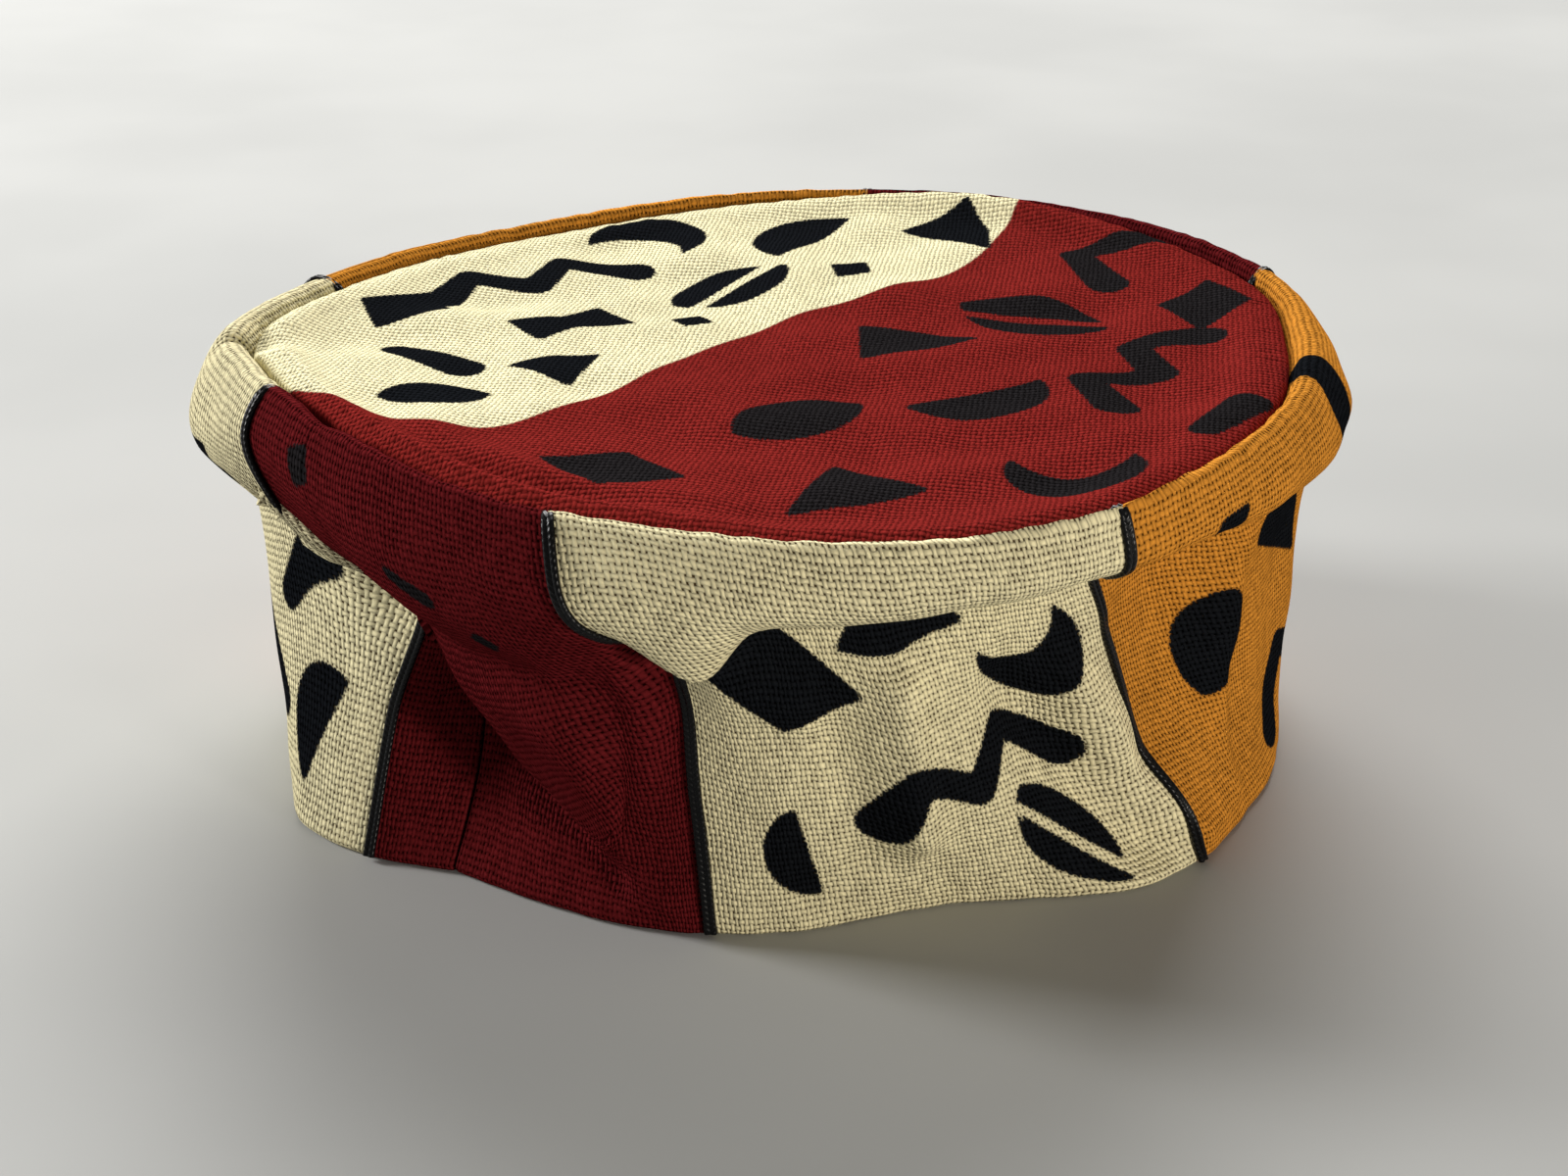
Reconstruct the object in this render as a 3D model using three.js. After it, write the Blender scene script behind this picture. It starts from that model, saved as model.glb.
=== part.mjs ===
import * as THREE from "three";

// A slouching kufi cap: a round crown piece sewn to one side band, with soutache braid over the band's colour changes.
// Millimetres, +Z up, the hem on z = 0. The cap's front is on -Y; azimuth is counted from +X towards +Y, in degrees.

// Sizes
const CROWN_R = 92.5;      // radius of the crown piece at its seam, the measure of every radius below
const SEAM_H = 77;         // height of the crown seam as the cap stands, the measure of every height below
const CLOTH = 1.4;         // one layer of the coarse cotton cloth
const HEM_DEPTH = 9;       // the turned-up hem, where the band is two layers thick
const GAP = 0.3;           // clearance between neighbouring pieces
const SEAM_TURN = 6;       // seam allowance, turned down inside along the crown seam
const SEAM_ROUND = 1.6;    // how far the two edges round over beside the seam
const CREST_RISE = 1.6;    // how far the band puffs up above the crown seam
const CROWN_SAG = 3.0;     // how far the middle of the crown sinks
const CROWN_WELT = 1.0;    // the low ridge the crown's edge makes beside the seam
const WELT_AT = 0.93;      // where that ridge is highest, as a share of the way out from the middle
const WELT_WIDTH = 0.05;   // its half width, a share of the same way
const BRAID_WIDTH = 2.2;
const BRAID_THICK = 1.0;
const BRAID_LIFT = 0.9;    // the braid's lower end above the floor
const BRAID_FIRST_RING = 2; // the braid starts just outside the crown seam

// Two levels of the band that follow from the levels around them, as shares of the way between those
const CREST = { turn: 0.4, out: 0.45 };            // the puffed crest, on the way from the seam out to the roll
const FULL = { turn: 0.38, in: 0.12, down: 0.5 };  // the roll's full lower side, on the way from the roll in to the lip
// a lip hanging further than from, a share of SEAM_H, below the roll pulls that side in straighter, up to in
const HANG = { from: 0.15, in: 0.5 };

// The crown's edge, in shares of SEAM_ROUND in from the turned-down edge or below the seam
const EDGE_FLAT_END = 1.5;
const EDGE_CORNER_IN = 0.4;
const EDGE_CORNER_DOWN = 0.3;

// Where the wall's folds may lie: they fade out over FOLD_FADE millimetres towards the roll, the hem and the flap
const FOLD_TOP = 0.82;     // share of SEAM_H
const FOLD_REACH = 1.06;   // share of CROWN_R
const FOLD_FADE = 6;
const WALL_R = 0.91;       // the standing wall's mean radius, a share of CROWN_R

// How finely the cloth is divided
const COLUMN_TURN = 3.7;   // degrees from one upright section to the next, at most
const CROWN_RINGS = 6;
// rings between one level of the band and the next, from the turned-in seam allowance down to the hem
const LEVEL_STEPS = [1, 2, 2, 2, 2, 2, 2, 3];

// The band section by section. Each row is one upright section of the cloth: it starts on the crown seam at azimuth az,
// runs out over the soft roll, in under the roll's lower lip to the tuck behind it, and down the wall to the hem.
// A turn is how many degrees the cloth has moved round from az at that level; R and Z are shares of CROWN_R and SEAM_H.
const SECTION_COLUMNS = [
  "az", "seamR", "seamZ", "rollTurn", "rollR", "rollZ", "lipTurn", "lipR", "lipZ",
  "tuckTurn", "tuckR", "tuckZ", "wallTurn", "wallR", "wallZ", "hemTurn", "hemR",
];
const SECTIONS = named(SECTION_COLUMNS, [
  [ -180, 1.065, 1.000,     2, 1.185, 0.890,    12, 1.068, 0.727,     9, 1.060, 0.675,    13, 1.052, 0.338,    17, 1.045],
  [ -170, 1.022, 1.000,     4, 1.132, 0.901,    17, 1.030, 0.786,    10, 1.000, 0.680,    14, 0.995, 0.338,    18, 1.073],
  [ -160, 0.987, 1.004,   1.5, 1.078, 0.935,    20, 0.946, 0.640,    18, 0.880, 0.540,  15.5, 0.915, 0.338,  17.5, 1.010],
  [ -149, 0.960, 1.006,   3.5, 1.050, 0.915,    19, 0.890, 0.470,    12, 0.784, 0.416,    13, 0.822, 0.221,  15.5, 0.930],
  [ -138, 0.958, 1.006,     5, 1.065, 0.883,    19, 0.874, 0.273,    13, 0.811, 0.240,    14, 0.838, 0.117,    16, 0.910],
  [ -128, 0.973, 1.003,     4, 1.063, 0.877,    17, 0.886, 0.200,  14.5, 0.870, 0.150,    15, 0.876, 0.095,    16, 0.903],
  [ -120, 0.984, 1.000,     3, 1.068, 0.877,    11, 0.930, 0.545,    13, 0.903, 0.364,  14.5, 0.886, 0.182,    16, 0.893],
  [ -114, 0.986, 1.000,   3.5, 1.083, 0.896,   6.5, 1.032, 0.786,    11, 0.914, 0.714,    13, 0.884, 0.338,  14.5, 0.884],
  [ -107, 0.987, 1.000,     4, 1.084, 0.909,     8, 1.003, 0.701,     9, 0.930, 0.662,    12, 0.903, 0.338,    14, 0.871],
  [  -99, 0.990, 0.994,     3, 1.086, 0.920,     5, 1.027, 0.816,     6, 0.941, 0.779,    10, 0.914, 0.338,    13, 0.854],
  [  -88, 1.010, 0.984,     2, 1.079, 0.925,     4, 1.011, 0.824,     4, 0.930, 0.797,    11, 0.897, 0.338,    16, 0.819],
  [  -75, 1.040, 0.986,     2, 1.084, 0.935,     3, 1.016, 0.840,     4, 0.924, 0.810,    12, 0.886, 0.338,    18, 0.895],
  [  -68, 1.041, 0.992,   1.5, 1.079, 0.940,   2.5, 1.011, 0.846,     4, 0.919, 0.815,  13.5, 0.890, 0.325,  20.5, 0.980],
  [  -61, 1.040, 0.998,     1, 1.072, 0.942,     2, 1.005, 0.851,     4, 0.914, 0.818,  16.5, 0.925, 0.312,  21.5, 0.995],
  [  -48, 1.000, 1.000,     2, 1.054, 0.932,     3, 0.989, 0.838,     4, 0.908, 0.805,    14, 0.908, 0.312,    20, 1.000],
  [  -35, 0.976, 1.000,     2, 1.054, 0.922,     3, 1.000, 0.818,     5, 0.965, 0.786,    14, 0.970, 0.312,    20, 1.016],
  [  -20, 0.969, 1.000,     2, 1.074, 0.909,     3, 1.038, 0.792,     5, 1.012, 0.753,    13, 1.015, 0.312,    18, 1.022],
  [   -2, 0.978, 1.000,     1, 1.103, 0.903,     3, 1.072, 0.773,     5, 1.048, 0.727,    13, 1.035, 0.312,    18, 1.022],
  [   18, 1.032, 1.003,     1, 1.117, 0.909,     3, 1.080, 0.779,     5, 1.055, 0.727,    12, 1.030, 0.312,    16, 1.022],
  [   42, 1.038, 1.004,     0, 1.092, 0.916,     1, 1.056, 0.779,     3, 1.030, 0.714,    10, 1.020, 0.312,    14, 1.027],
  [   68, 1.025, 1.003,     0, 1.066, 0.910,     1, 1.036, 0.779,     3, 1.011, 0.714,    10, 1.016, 0.312,    14, 1.038],
  [   96, 0.995, 0.986,     0, 1.042, 0.897,     1, 1.020, 0.766,     4, 1.000, 0.701,    11, 1.022, 0.312,    16, 1.032],
  [  124, 0.968, 0.970,     1, 1.036, 0.883,     3, 1.016, 0.747,     6, 0.989, 0.675,    12, 1.022, 0.312,    16, 1.032],
  [  150, 1.003, 0.977,     2, 1.108, 0.877,     6, 1.065, 0.727,     8, 1.016, 0.662,    13, 1.032, 0.325,    18, 1.054],
]);

// Soft folds in the standing wall, each a line from one azimuth and height to another.
// Heights are shares of SEAM_H; width and depth are millimetres, depth positive for a ridge and negative for a hollow.
const FOLDS = named(["fromAz", "fromZ", "toAz", "toZ", "width", "depth"], [
  [-100, 0.65,  -90, 0.58, 5,  2.2],   // shoulder right of the hanging flap
  [ -79, 0.61,  -75, 0.26, 6,  2.4],   // upright ridge in the middle of the front
  [ -89, 0.47,  -86, 0.13, 8, -1.8],   // hollow beside it
  [ -66, 0.55,  -46, 0.05, 7, -3.0],   // slanting valley towards the front right hem
  [ -42, 0.70,  -43, 0.26, 7, -2.5],   // hollow behind the front right braid
  [ -30, 0.68,  -34, 0.05, 6,  2.2],   // upright ridge at the right
  [ -17, 0.60,  -15, 0.18, 8, -1.5],   // hollow beyond it
]);

// The six braids: the azimuth on the crown seam where each starts.
const BRAIDS = named(["name", "az"], [
  ["braid_left", -160],
  ["braid_front_left", -114],
  ["braid_front_right", -60],
  ["braid_right", 20],
  ["braid_back", 80],
  ["braid_back_left", 159],
]);

const CREAM = material(0xded2ab, 0.95);
const RED = material(0x781c1c, 0.95);
const BLACK = material(0x111216, 0.55);

/** Turns rows of numbers into objects with the given column names. */
function named(columns, rows) {
  return rows.map((row) => Object.fromEntries(columns.map((c, i) => [c, row[i]])));
}

function material(color, roughness) {
  return new THREE.MeshStandardMaterial({ color, roughness, metalness: 0 });
}

/** A point from azimuth in degrees, radius and height in millimetres. */
function polar(az, r, z) {
  const a = THREE.MathUtils.degToRad(az);
  return new THREE.Vector3(r * Math.cos(a), r * Math.sin(a), z);
}

/** The named levels of one section, top to bottom, as points in millimetres. */
function sectionPoints(s) {
  const seamR = s.seamR * CROWN_R, seamZ = s.seamZ * SEAM_H;
  const rollR = s.rollR * CROWN_R, rollZ = s.rollZ * SEAM_H;
  const lipR = s.lipR * CROWN_R, lipZ = s.lipZ * SEAM_H;
  const fullIn = THREE.MathUtils.clamp(FULL.in + s.rollZ - s.lipZ - HANG.from, FULL.in, HANG.in);
  return [
    polar(s.az, seamR + GAP / 2, seamZ - SEAM_TURN),
    polar(s.az, seamR + GAP / 2, seamZ - SEAM_ROUND),
    polar(s.az + CREST.turn * s.rollTurn, seamR + CREST.out * (rollR - seamR), seamZ + CREST_RISE),
    polar(s.az + s.rollTurn, rollR, rollZ),
    polar(s.az + s.rollTurn + FULL.turn * (s.lipTurn - s.rollTurn),
      rollR - fullIn * (rollR - lipR),
      rollZ - FULL.down * (rollZ - lipZ)),
    polar(s.az + s.lipTurn, lipR, lipZ),
    polar(s.az + s.tuckTurn, s.tuckR * CROWN_R, s.tuckZ * SEAM_H),
    polar(s.az + s.wallTurn, s.wallR * CROWN_R, s.wallZ * SEAM_H),
    polar(s.az + s.hemTurn, s.hemR * CROWN_R, 0),
  ];
}

const SECTION_POINTS = SECTIONS.map(sectionPoints);
const LEVEL_RINGS = SECTION_POINTS[0].map((_, level) =>
  new THREE.CatmullRomCurve3(SECTION_POINTS.map((points) => points[level]), true, "centripetal"));

/** Where azimuth az on the crown seam falls along a closed level ring, 0 to 1. */
function ringShare(az) {
  const count = SECTIONS.length, first = SECTIONS[0].az;
  const turned = first + ((az - first) % 360 + 360) % 360;
  let k = count - 1;
  while (SECTIONS[k].az > turned) k -= 1;
  const next = k + 1 < count ? SECTIONS[k + 1].az : first + 360;
  return (k + (turned - SECTIONS[k].az) / (next - SECTIONS[k].az)) / count;
}

/** How far the wall's folds move the cloth out at point p, in millimetres. */
function foldDepth(p) {
  const r = Math.hypot(p.x, p.y);
  const perDegree = THREE.MathUtils.degToRad(WALL_R * CROWN_R);
  const az = THREE.MathUtils.radToDeg(Math.atan2(p.y, p.x));
  const here = new THREE.Vector3(az * perDegree, p.z, 0);
  const nearest = new THREE.Vector3();
  let depth = 0;
  for (const f of FOLDS) {
    const line = new THREE.Line3(
      new THREE.Vector3(f.fromAz * perDegree, f.fromZ * SEAM_H, 0),
      new THREE.Vector3(f.toAz * perDegree, f.toZ * SEAM_H, 0));
    line.closestPointToPoint(here, true, nearest);
    depth += f.depth * Math.exp(-((nearest.distanceTo(here) / f.width) ** 2));
  }
  const fade = (room) => THREE.MathUtils.clamp(room / FOLD_FADE, 0, 1);
  return depth * fade(FOLD_TOP * SEAM_H - p.z) * fade(p.z) * fade(FOLD_REACH * CROWN_R - r);
}

/** The band's outer face along the section that starts at azimuth az: one point per ring. */
function outerColumn(az) {
  const share = ringShare(az);
  const profile = new THREE.CatmullRomCurve3(LEVEL_RINGS.map((ring) => ring.getPoint(share)), false, "centripetal");
  const points = [];
  LEVEL_STEPS.forEach((steps, level) => {
    for (let k = 0; k < steps; k += 1) points.push(profile.getPoint((level + k / steps) / LEVEL_STEPS.length));
  });
  points.push(profile.getPoint(1));
  return points.map((p) => {
    const scale = 1 + foldDepth(p) / Math.hypot(p.x, p.y);
    return new THREE.Vector3(p.x * scale, p.y * scale, p.z);
  });
}

/** Unit normals of a grid of points [column][ring], the columns running round in a closed loop. */
function gridNormals(grid) {
  const columns = grid.length, rings = grid[0].length;
  return grid.map((column, i) => column.map((_, j) => {
    const along = grid[(i + 1) % columns][j].clone().sub(grid[(i + columns - 1) % columns][j]);
    const down = grid[i][Math.min(j + 1, rings - 1)].clone().sub(grid[i][Math.max(j - 1, 0)]);
    return down.cross(along).normalize();
  }));
}

/** A closed body between an outer and an inner grid; with poles, ring 0 closes on a middle point, else on a rim. */
function shell(outer, inner, poles) {
  const columns = outer.length, rings = outer[0].length;
  const positions = [], index = [];
  for (const grid of [outer, inner]) {
    for (const column of grid) for (const p of column) positions.push(p.x, p.y, p.z);
  }
  const at = (side, i, j) => (side * columns + (i % columns)) * rings + j;
  const quad = (a, b, c, d) => index.push(a, b, c, a, c, d);
  for (let i = 0; i < columns; i += 1) {
    for (let j = 0; j + 1 < rings; j += 1) {
      quad(at(0, i, j), at(0, i, j + 1), at(0, i + 1, j + 1), at(0, i + 1, j));
      quad(at(1, i, j), at(1, i + 1, j), at(1, i + 1, j + 1), at(1, i, j + 1));
    }
    quad(at(0, i, rings - 1), at(1, i, rings - 1), at(1, i + 1, rings - 1), at(0, i + 1, rings - 1));
    if (!poles) quad(at(0, i, 0), at(0, i + 1, 0), at(1, i + 1, 0), at(1, i, 0));
  }
  if (poles) {
    const top = positions.length / 3;
    for (const p of poles) positions.push(p.x, p.y, p.z);
    for (let i = 0; i < columns; i += 1) {
      index.push(top, at(0, i, 0), at(0, i + 1, 0));
      index.push(top + 1, at(1, i + 1, 0), at(1, i, 0));
    }
  }
  const geometry = new THREE.BufferGeometry();
  geometry.setAttribute("position", new THREE.Float32BufferAttribute(positions, 3));
  geometry.setIndex(index);
  geometry.computeVertexNormals();
  return geometry;
}

/** The azimuths of the cloth's upright sections: even steps from each braid to the next, so each braid lies on one. */
function columnAzimuths() {
  return BRAIDS.flatMap((b, i) => {
    const end = i + 1 < BRAIDS.length ? BRAIDS[i + 1].az : BRAIDS[0].az + 360;
    const steps = Math.ceil((end - b.az) / COLUMN_TURN);
    return Array.from({ length: steps }, (_, k) => b.az + ((end - b.az) * k) / steps);
  });
}

const COLUMN_AZ = columnAzimuths();
const BAND_OUTER = COLUMN_AZ.map(outerColumn);
const BAND_NORMALS = gridNormals(BAND_OUTER);

/** The band: its outer face, and an inner face one layer in, two layers in along the turned-up hem. */
function sideBand() {
  const inner = BAND_OUTER.map((column, i) => column.map((p, j) => {
    const inHem = p.z < HEM_DEPTH;
    const q = p.clone().addScaledVector(BAND_NORMALS[i][j], inHem ? -2 * CLOTH : -CLOTH);
    return inHem ? q.setZ(p.z) : q;
  }));
  return shell(BAND_OUTER, inner);
}

/** The crown's outer face above the plane of the seam, at share s of the way out from the middle. */
function crownRise(s) {
  return CROWN_SAG * (s * s - 1) + CROWN_WELT * Math.exp(-(((s - WELT_AT) / WELT_WIDTH) ** 2));
}

/** The crown: a sagging round piece whose edge turns down beside the band's seam allowance. */
function crownTop() {
  const outer = [], inner = [];
  const cornerIn = EDGE_CORNER_IN * SEAM_ROUND, cornerDown = EDGE_CORNER_DOWN * SEAM_ROUND;
  for (const column of BAND_OUTER) {
    const r = Math.hypot(column[0].x, column[0].y) - GAP;
    const az = THREE.MathUtils.radToDeg(Math.atan2(column[0].y, column[0].x));
    const seamZ = column[0].z + SEAM_TURN;
    const out = [], into = [];
    for (let k = 1; k <= CROWN_RINGS; k += 1) {
      const s = (k / CROWN_RINGS) * (1 - EDGE_FLAT_END * SEAM_ROUND / r);
      const z = SEAM_H + (seamZ - SEAM_H) * s + crownRise(s);
      out.push(polar(az, r * s, z));
      into.push(polar(az, Math.min(r * s, r - CLOTH - SEAM_ROUND), z - CLOTH));
    }
    // the edge rounds over and turns down
    out.push(
      polar(az, r - cornerIn, seamZ - cornerDown),
      polar(az, r, seamZ - SEAM_ROUND),
      polar(az, r, seamZ - SEAM_TURN));
    into.push(
      polar(az, r - CLOTH - cornerIn, seamZ - cornerDown - CLOTH),
      polar(az, r - CLOTH, seamZ - SEAM_ROUND - CLOTH),
      polar(az, r - CLOTH, seamZ - SEAM_TURN));
    outer.push(out);
    inner.push(into);
  }
  const middle = new THREE.Vector3(0, 0, SEAM_H + crownRise(0));
  return shell(outer, inner, [middle, new THREE.Vector3(0, 0, middle.z - CLOTH)]);
}

/** A braid: a strip lying a hair off the band's outer face, along the section that starts at azimuth az. */
function braid(az) {
  const k = COLUMN_AZ.indexOf(az), columns = BAND_OUTER.length;
  const before = BAND_OUTER[(k + columns - 1) % columns], after = BAND_OUTER[(k + 1) % columns];
  const loops = [];
  for (let j = BRAID_FIRST_RING; j < BAND_OUTER[k].length; j += 1) {
    const middle = BAND_OUTER[k][j], normal = BAND_NORMALS[k][j];
    const beside = (p) => middle.clone().lerp(p, BRAID_WIDTH / 2 / middle.distanceTo(p));
    const foot = [beside(before[j]), middle, beside(after[j])];
    const low = foot.map((p) => p.clone().addScaledVector(normal, GAP));
    const high = foot.map((p) => p.clone().addScaledVector(normal, GAP + BRAID_THICK));
    loops.push([...low, ...high.reverse()]);
  }
  for (const p of loops.at(-1)) p.z = BRAID_LIFT;
  return sweptBody(loops);
}

/** A closed body from a row of loops with equal numbers of corners. */
function sweptBody(loops) {
  const corners = loops[0].length;
  const positions = [], index = [];
  for (const loop of loops) for (const p of loop) positions.push(p.x, p.y, p.z);
  for (let j = 0; j + 1 < loops.length; j += 1) {
    for (let k = 0; k < corners; k += 1) {
      const a = corners * j + k, b = corners * j + ((k + 1) % corners);
      index.push(a, b, b + corners, a, b + corners, a + corners);
    }
  }
  const end = corners * (loops.length - 1);
  for (let k = 1; k + 1 < corners; k += 1) {
    index.push(0, k + 1, k);
    index.push(end, end + k, end + k + 1);
  }
  const geometry = new THREE.BufferGeometry();
  geometry.setAttribute("position", new THREE.Float32BufferAttribute(positions, 3));
  geometry.setIndex(index);
  geometry.computeVertexNormals();
  return geometry;
}

const cap = new THREE.Group();
function add(name, geometry, look) {
  const mesh = new THREE.Mesh(geometry, look);
  mesh.name = name;
  cap.add(mesh);
}
add("crown_top", crownTop(), RED);
add("side_band", sideBand(), CREAM);
for (const b of BRAIDS) add(b.name, braid(b.az), BLACK);

// the origin is the middle of the cap's footprint, on the floor
const box = new THREE.Box3().setFromObject(cap);
const centre = box.getCenter(new THREE.Vector3());
for (const mesh of cap.children) mesh.geometry.translate(-centre.x, -centre.y, -box.min.z);

export default cap;
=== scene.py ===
import logging
import math
from dataclasses import dataclass
from enum import Enum
from typing import Callable, NamedTuple, Sequence

import bpy
import numpy as np
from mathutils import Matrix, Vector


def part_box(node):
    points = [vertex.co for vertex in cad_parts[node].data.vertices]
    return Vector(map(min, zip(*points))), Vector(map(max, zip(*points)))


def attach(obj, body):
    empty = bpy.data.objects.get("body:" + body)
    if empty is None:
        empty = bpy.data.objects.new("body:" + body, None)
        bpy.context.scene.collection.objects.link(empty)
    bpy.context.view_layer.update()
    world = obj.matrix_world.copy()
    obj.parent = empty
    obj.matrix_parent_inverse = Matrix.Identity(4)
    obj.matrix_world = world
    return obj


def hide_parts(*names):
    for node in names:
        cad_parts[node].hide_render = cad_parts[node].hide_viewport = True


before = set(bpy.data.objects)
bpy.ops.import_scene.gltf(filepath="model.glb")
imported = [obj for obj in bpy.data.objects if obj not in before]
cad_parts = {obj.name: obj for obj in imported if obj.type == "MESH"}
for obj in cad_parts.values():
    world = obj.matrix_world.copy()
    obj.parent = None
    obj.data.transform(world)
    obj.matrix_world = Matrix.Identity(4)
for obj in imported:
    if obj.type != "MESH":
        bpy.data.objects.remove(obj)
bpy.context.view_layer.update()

# A slouching kufi cap: a round crown piece sewn to one side band, with soutache braid over the band's
# colour changes. It is shaped in millimetres in its own frame, whose z axis runs through the middle of the
# crown, with the front on -Y. Azimuth is counted from +X towards +Y, in degrees. Everything is moved into the
# row frame, in metres, at the end.

MM = 0.001

# Sizes that the solids have too
CROWN_R = 92.5        # radius of the crown piece at its seam, the measure of every radius below
SEAM_H = 77.0         # height of the crown seam as the cap stands, the measure of every height below
CLOTH = 1.4           # one layer of the coarse cotton cloth
HEM_DEPTH = 9.0       # the turned-up hem
GAP = 0.3             # between the crown and the band along their seam
SEAM_TURN = 6.0       # seam allowance, turned down inside along the crown seam
SEAM_ROUND = 1.6      # how far the two edges round over beside the seam
CREST_RISE = 1.6      # how far the band puffs up above the crown seam
CREST = (0.4, 0.45)   # the puffed crest: shares of the turn and of the way from the seam out to the roll
FULL = (0.38, 0.12, 0.5)  # the roll's full lower side: shares of the turn, way in and way down to the lip
HANG_FROM = 0.15      # a lip that hangs further than this share of SEAM_H below the roll
HANG_IN = 0.5         # pulls that side in straighter, up to this share of the way in
CROWN_SAG = 3.0       # how far the middle of the crown sinks
CROWN_WELT = 1.0      # the low ridge the crown's edge makes beside the seam
WELT_AT = 0.93        # where that ridge is highest, as a share of the way out from the middle
WELT_WIDTH = 0.05     # its half width, a share of the same way
FOLD_TOP = 0.82       # the wall's folds fade out towards this share of SEAM_H,
FOLD_REACH = 1.06     # and towards this share of CROWN_R,
FOLD_FADE = 6.0       # over this many millimetres
WALL_R = 0.91         # the standing wall's mean radius, a share of CROWN_R

# The band as it was cut
BAND_LENGTH = 600.0   # once round
BAND_DEPTH = 100.0    # from the crown seam to the hem's lower edge
BAND_END_AZ = -149.0  # where the band's two ends are sewn together

MASK_REACH = 4.0      # a mask of the print says how far inside its area a point lies, up to this far

log = logging.getLogger("kufi_cap")

Array = np.ndarray
Shape = Callable[[Array, Array], Array]
Colour = tuple[float, float, float, float]
Node = bpy.types.Node
Socket = bpy.types.NodeSocket
Material = bpy.types.Material
Piece = bpy.types.Object


class Section(NamedTuple):
    """One upright section of the band, from the crown seam to the hem.

    It runs out over the soft roll, in under the roll's lower lip to the tuck behind it, and down the wall to
    the hem. A turn is how many degrees the cloth has moved round from az at that level; r and z are shares of
    CROWN_R and SEAM_H.
    """

    az: float
    seam_r: float
    seam_z: float
    roll_turn: float
    roll_r: float
    roll_z: float
    lip_turn: float
    lip_r: float
    lip_z: float
    tuck_turn: float
    tuck_r: float
    tuck_z: float
    wall_turn: float
    wall_r: float
    wall_z: float
    hem_turn: float
    hem_r: float


SECTIONS = [Section(*row) for row in (
    (-180, 1.065, 1, 2, 1.185, 0.89, 12, 1.068, 0.727, 9, 1.06, 0.675, 13, 1.052, 0.338, 17, 1.045),
    (-170, 1.022, 1, 4, 1.132, 0.901, 17, 1.03, 0.786, 10, 1, 0.68, 14, 0.995, 0.338, 18, 1.073),
    (-160, 0.987, 1.004, 1.5, 1.078, 0.935, 20, 0.946, 0.64, 18, 0.88, 0.54, 15.5, 0.915, 0.338, 17.5, 1.01),
    (-149, 0.96, 1.006, 3.5, 1.05, 0.915, 19, 0.89, 0.47, 12, 0.784, 0.416, 13, 0.822, 0.221, 15.5, 0.93),
    (-138, 0.958, 1.006, 5, 1.065, 0.883, 19, 0.874, 0.273, 13, 0.811, 0.24, 14, 0.838, 0.117, 16, 0.91),
    (-128, 0.973, 1.003, 4, 1.063, 0.877, 17, 0.886, 0.2, 14.5, 0.87, 0.15, 15, 0.876, 0.095, 16, 0.903),
    (-120, 0.984, 1, 3, 1.068, 0.877, 11, 0.93, 0.545, 13, 0.903, 0.364, 14.5, 0.886, 0.182, 16, 0.893),
    (-114, 0.986, 1, 3.5, 1.083, 0.896, 6.5, 1.032, 0.786, 11, 0.914, 0.714, 13, 0.884, 0.338, 14.5, 0.884),
    (-107, 0.987, 1, 4, 1.084, 0.909, 8, 1.003, 0.701, 9, 0.93, 0.662, 12, 0.903, 0.338, 14, 0.871),
    (-99, 0.99, 0.994, 3, 1.086, 0.92, 5, 1.027, 0.816, 6, 0.941, 0.779, 10, 0.914, 0.338, 13, 0.854),
    (-88, 1.01, 0.984, 2, 1.079, 0.925, 4, 1.011, 0.824, 4, 0.93, 0.797, 11, 0.897, 0.338, 16, 0.819),
    (-75, 1.04, 0.986, 2, 1.084, 0.935, 3, 1.016, 0.84, 4, 0.924, 0.81, 12, 0.886, 0.338, 18, 0.895),
    (-68, 1.041, 0.992, 1.5, 1.079, 0.94, 2.5, 1.011, 0.846, 4, 0.919, 0.815, 13.5, 0.89, 0.325, 20.5, 0.98),
    (-61, 1.04, 0.998, 1, 1.072, 0.942, 2, 1.005, 0.851, 4, 0.914, 0.818, 16.5, 0.925, 0.312, 21.5, 0.995),
    (-48, 1, 1, 2, 1.054, 0.932, 3, 0.989, 0.838, 4, 0.908, 0.805, 14, 0.908, 0.312, 20, 1),
    (-35, 0.976, 1, 2, 1.054, 0.922, 3, 1, 0.818, 5, 0.965, 0.786, 14, 0.97, 0.312, 20, 1.016),
    (-20, 0.969, 1, 2, 1.074, 0.909, 3, 1.038, 0.792, 5, 1.012, 0.753, 13, 1.015, 0.312, 18, 1.022),
    (-2, 0.978, 1, 1, 1.103, 0.903, 3, 1.072, 0.773, 5, 1.048, 0.727, 13, 1.035, 0.312, 18, 1.022),
    (18, 1.032, 1.003, 1, 1.117, 0.909, 3, 1.08, 0.779, 5, 1.055, 0.727, 12, 1.03, 0.312, 16, 1.022),
    (42, 1.038, 1.004, 0, 1.092, 0.916, 1, 1.056, 0.779, 3, 1.03, 0.714, 10, 1.02, 0.312, 14, 1.027),
    (68, 1.025, 1.003, 0, 1.066, 0.91, 1, 1.036, 0.779, 3, 1.011, 0.714, 10, 1.016, 0.312, 14, 1.038),
    (96, 0.995, 0.986, 0, 1.042, 0.897, 1, 1.02, 0.766, 4, 1, 0.701, 11, 1.022, 0.312, 16, 1.032),
    (124, 0.968, 0.97, 1, 1.036, 0.883, 3, 1.016, 0.747, 6, 0.989, 0.675, 12, 1.022, 0.312, 16, 1.032),
    (150, 1.003, 0.977, 2, 1.108, 0.877, 6, 1.065, 0.727, 8, 1.016, 0.662, 13, 1.032, 0.325, 18, 1.054),
)]


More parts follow.
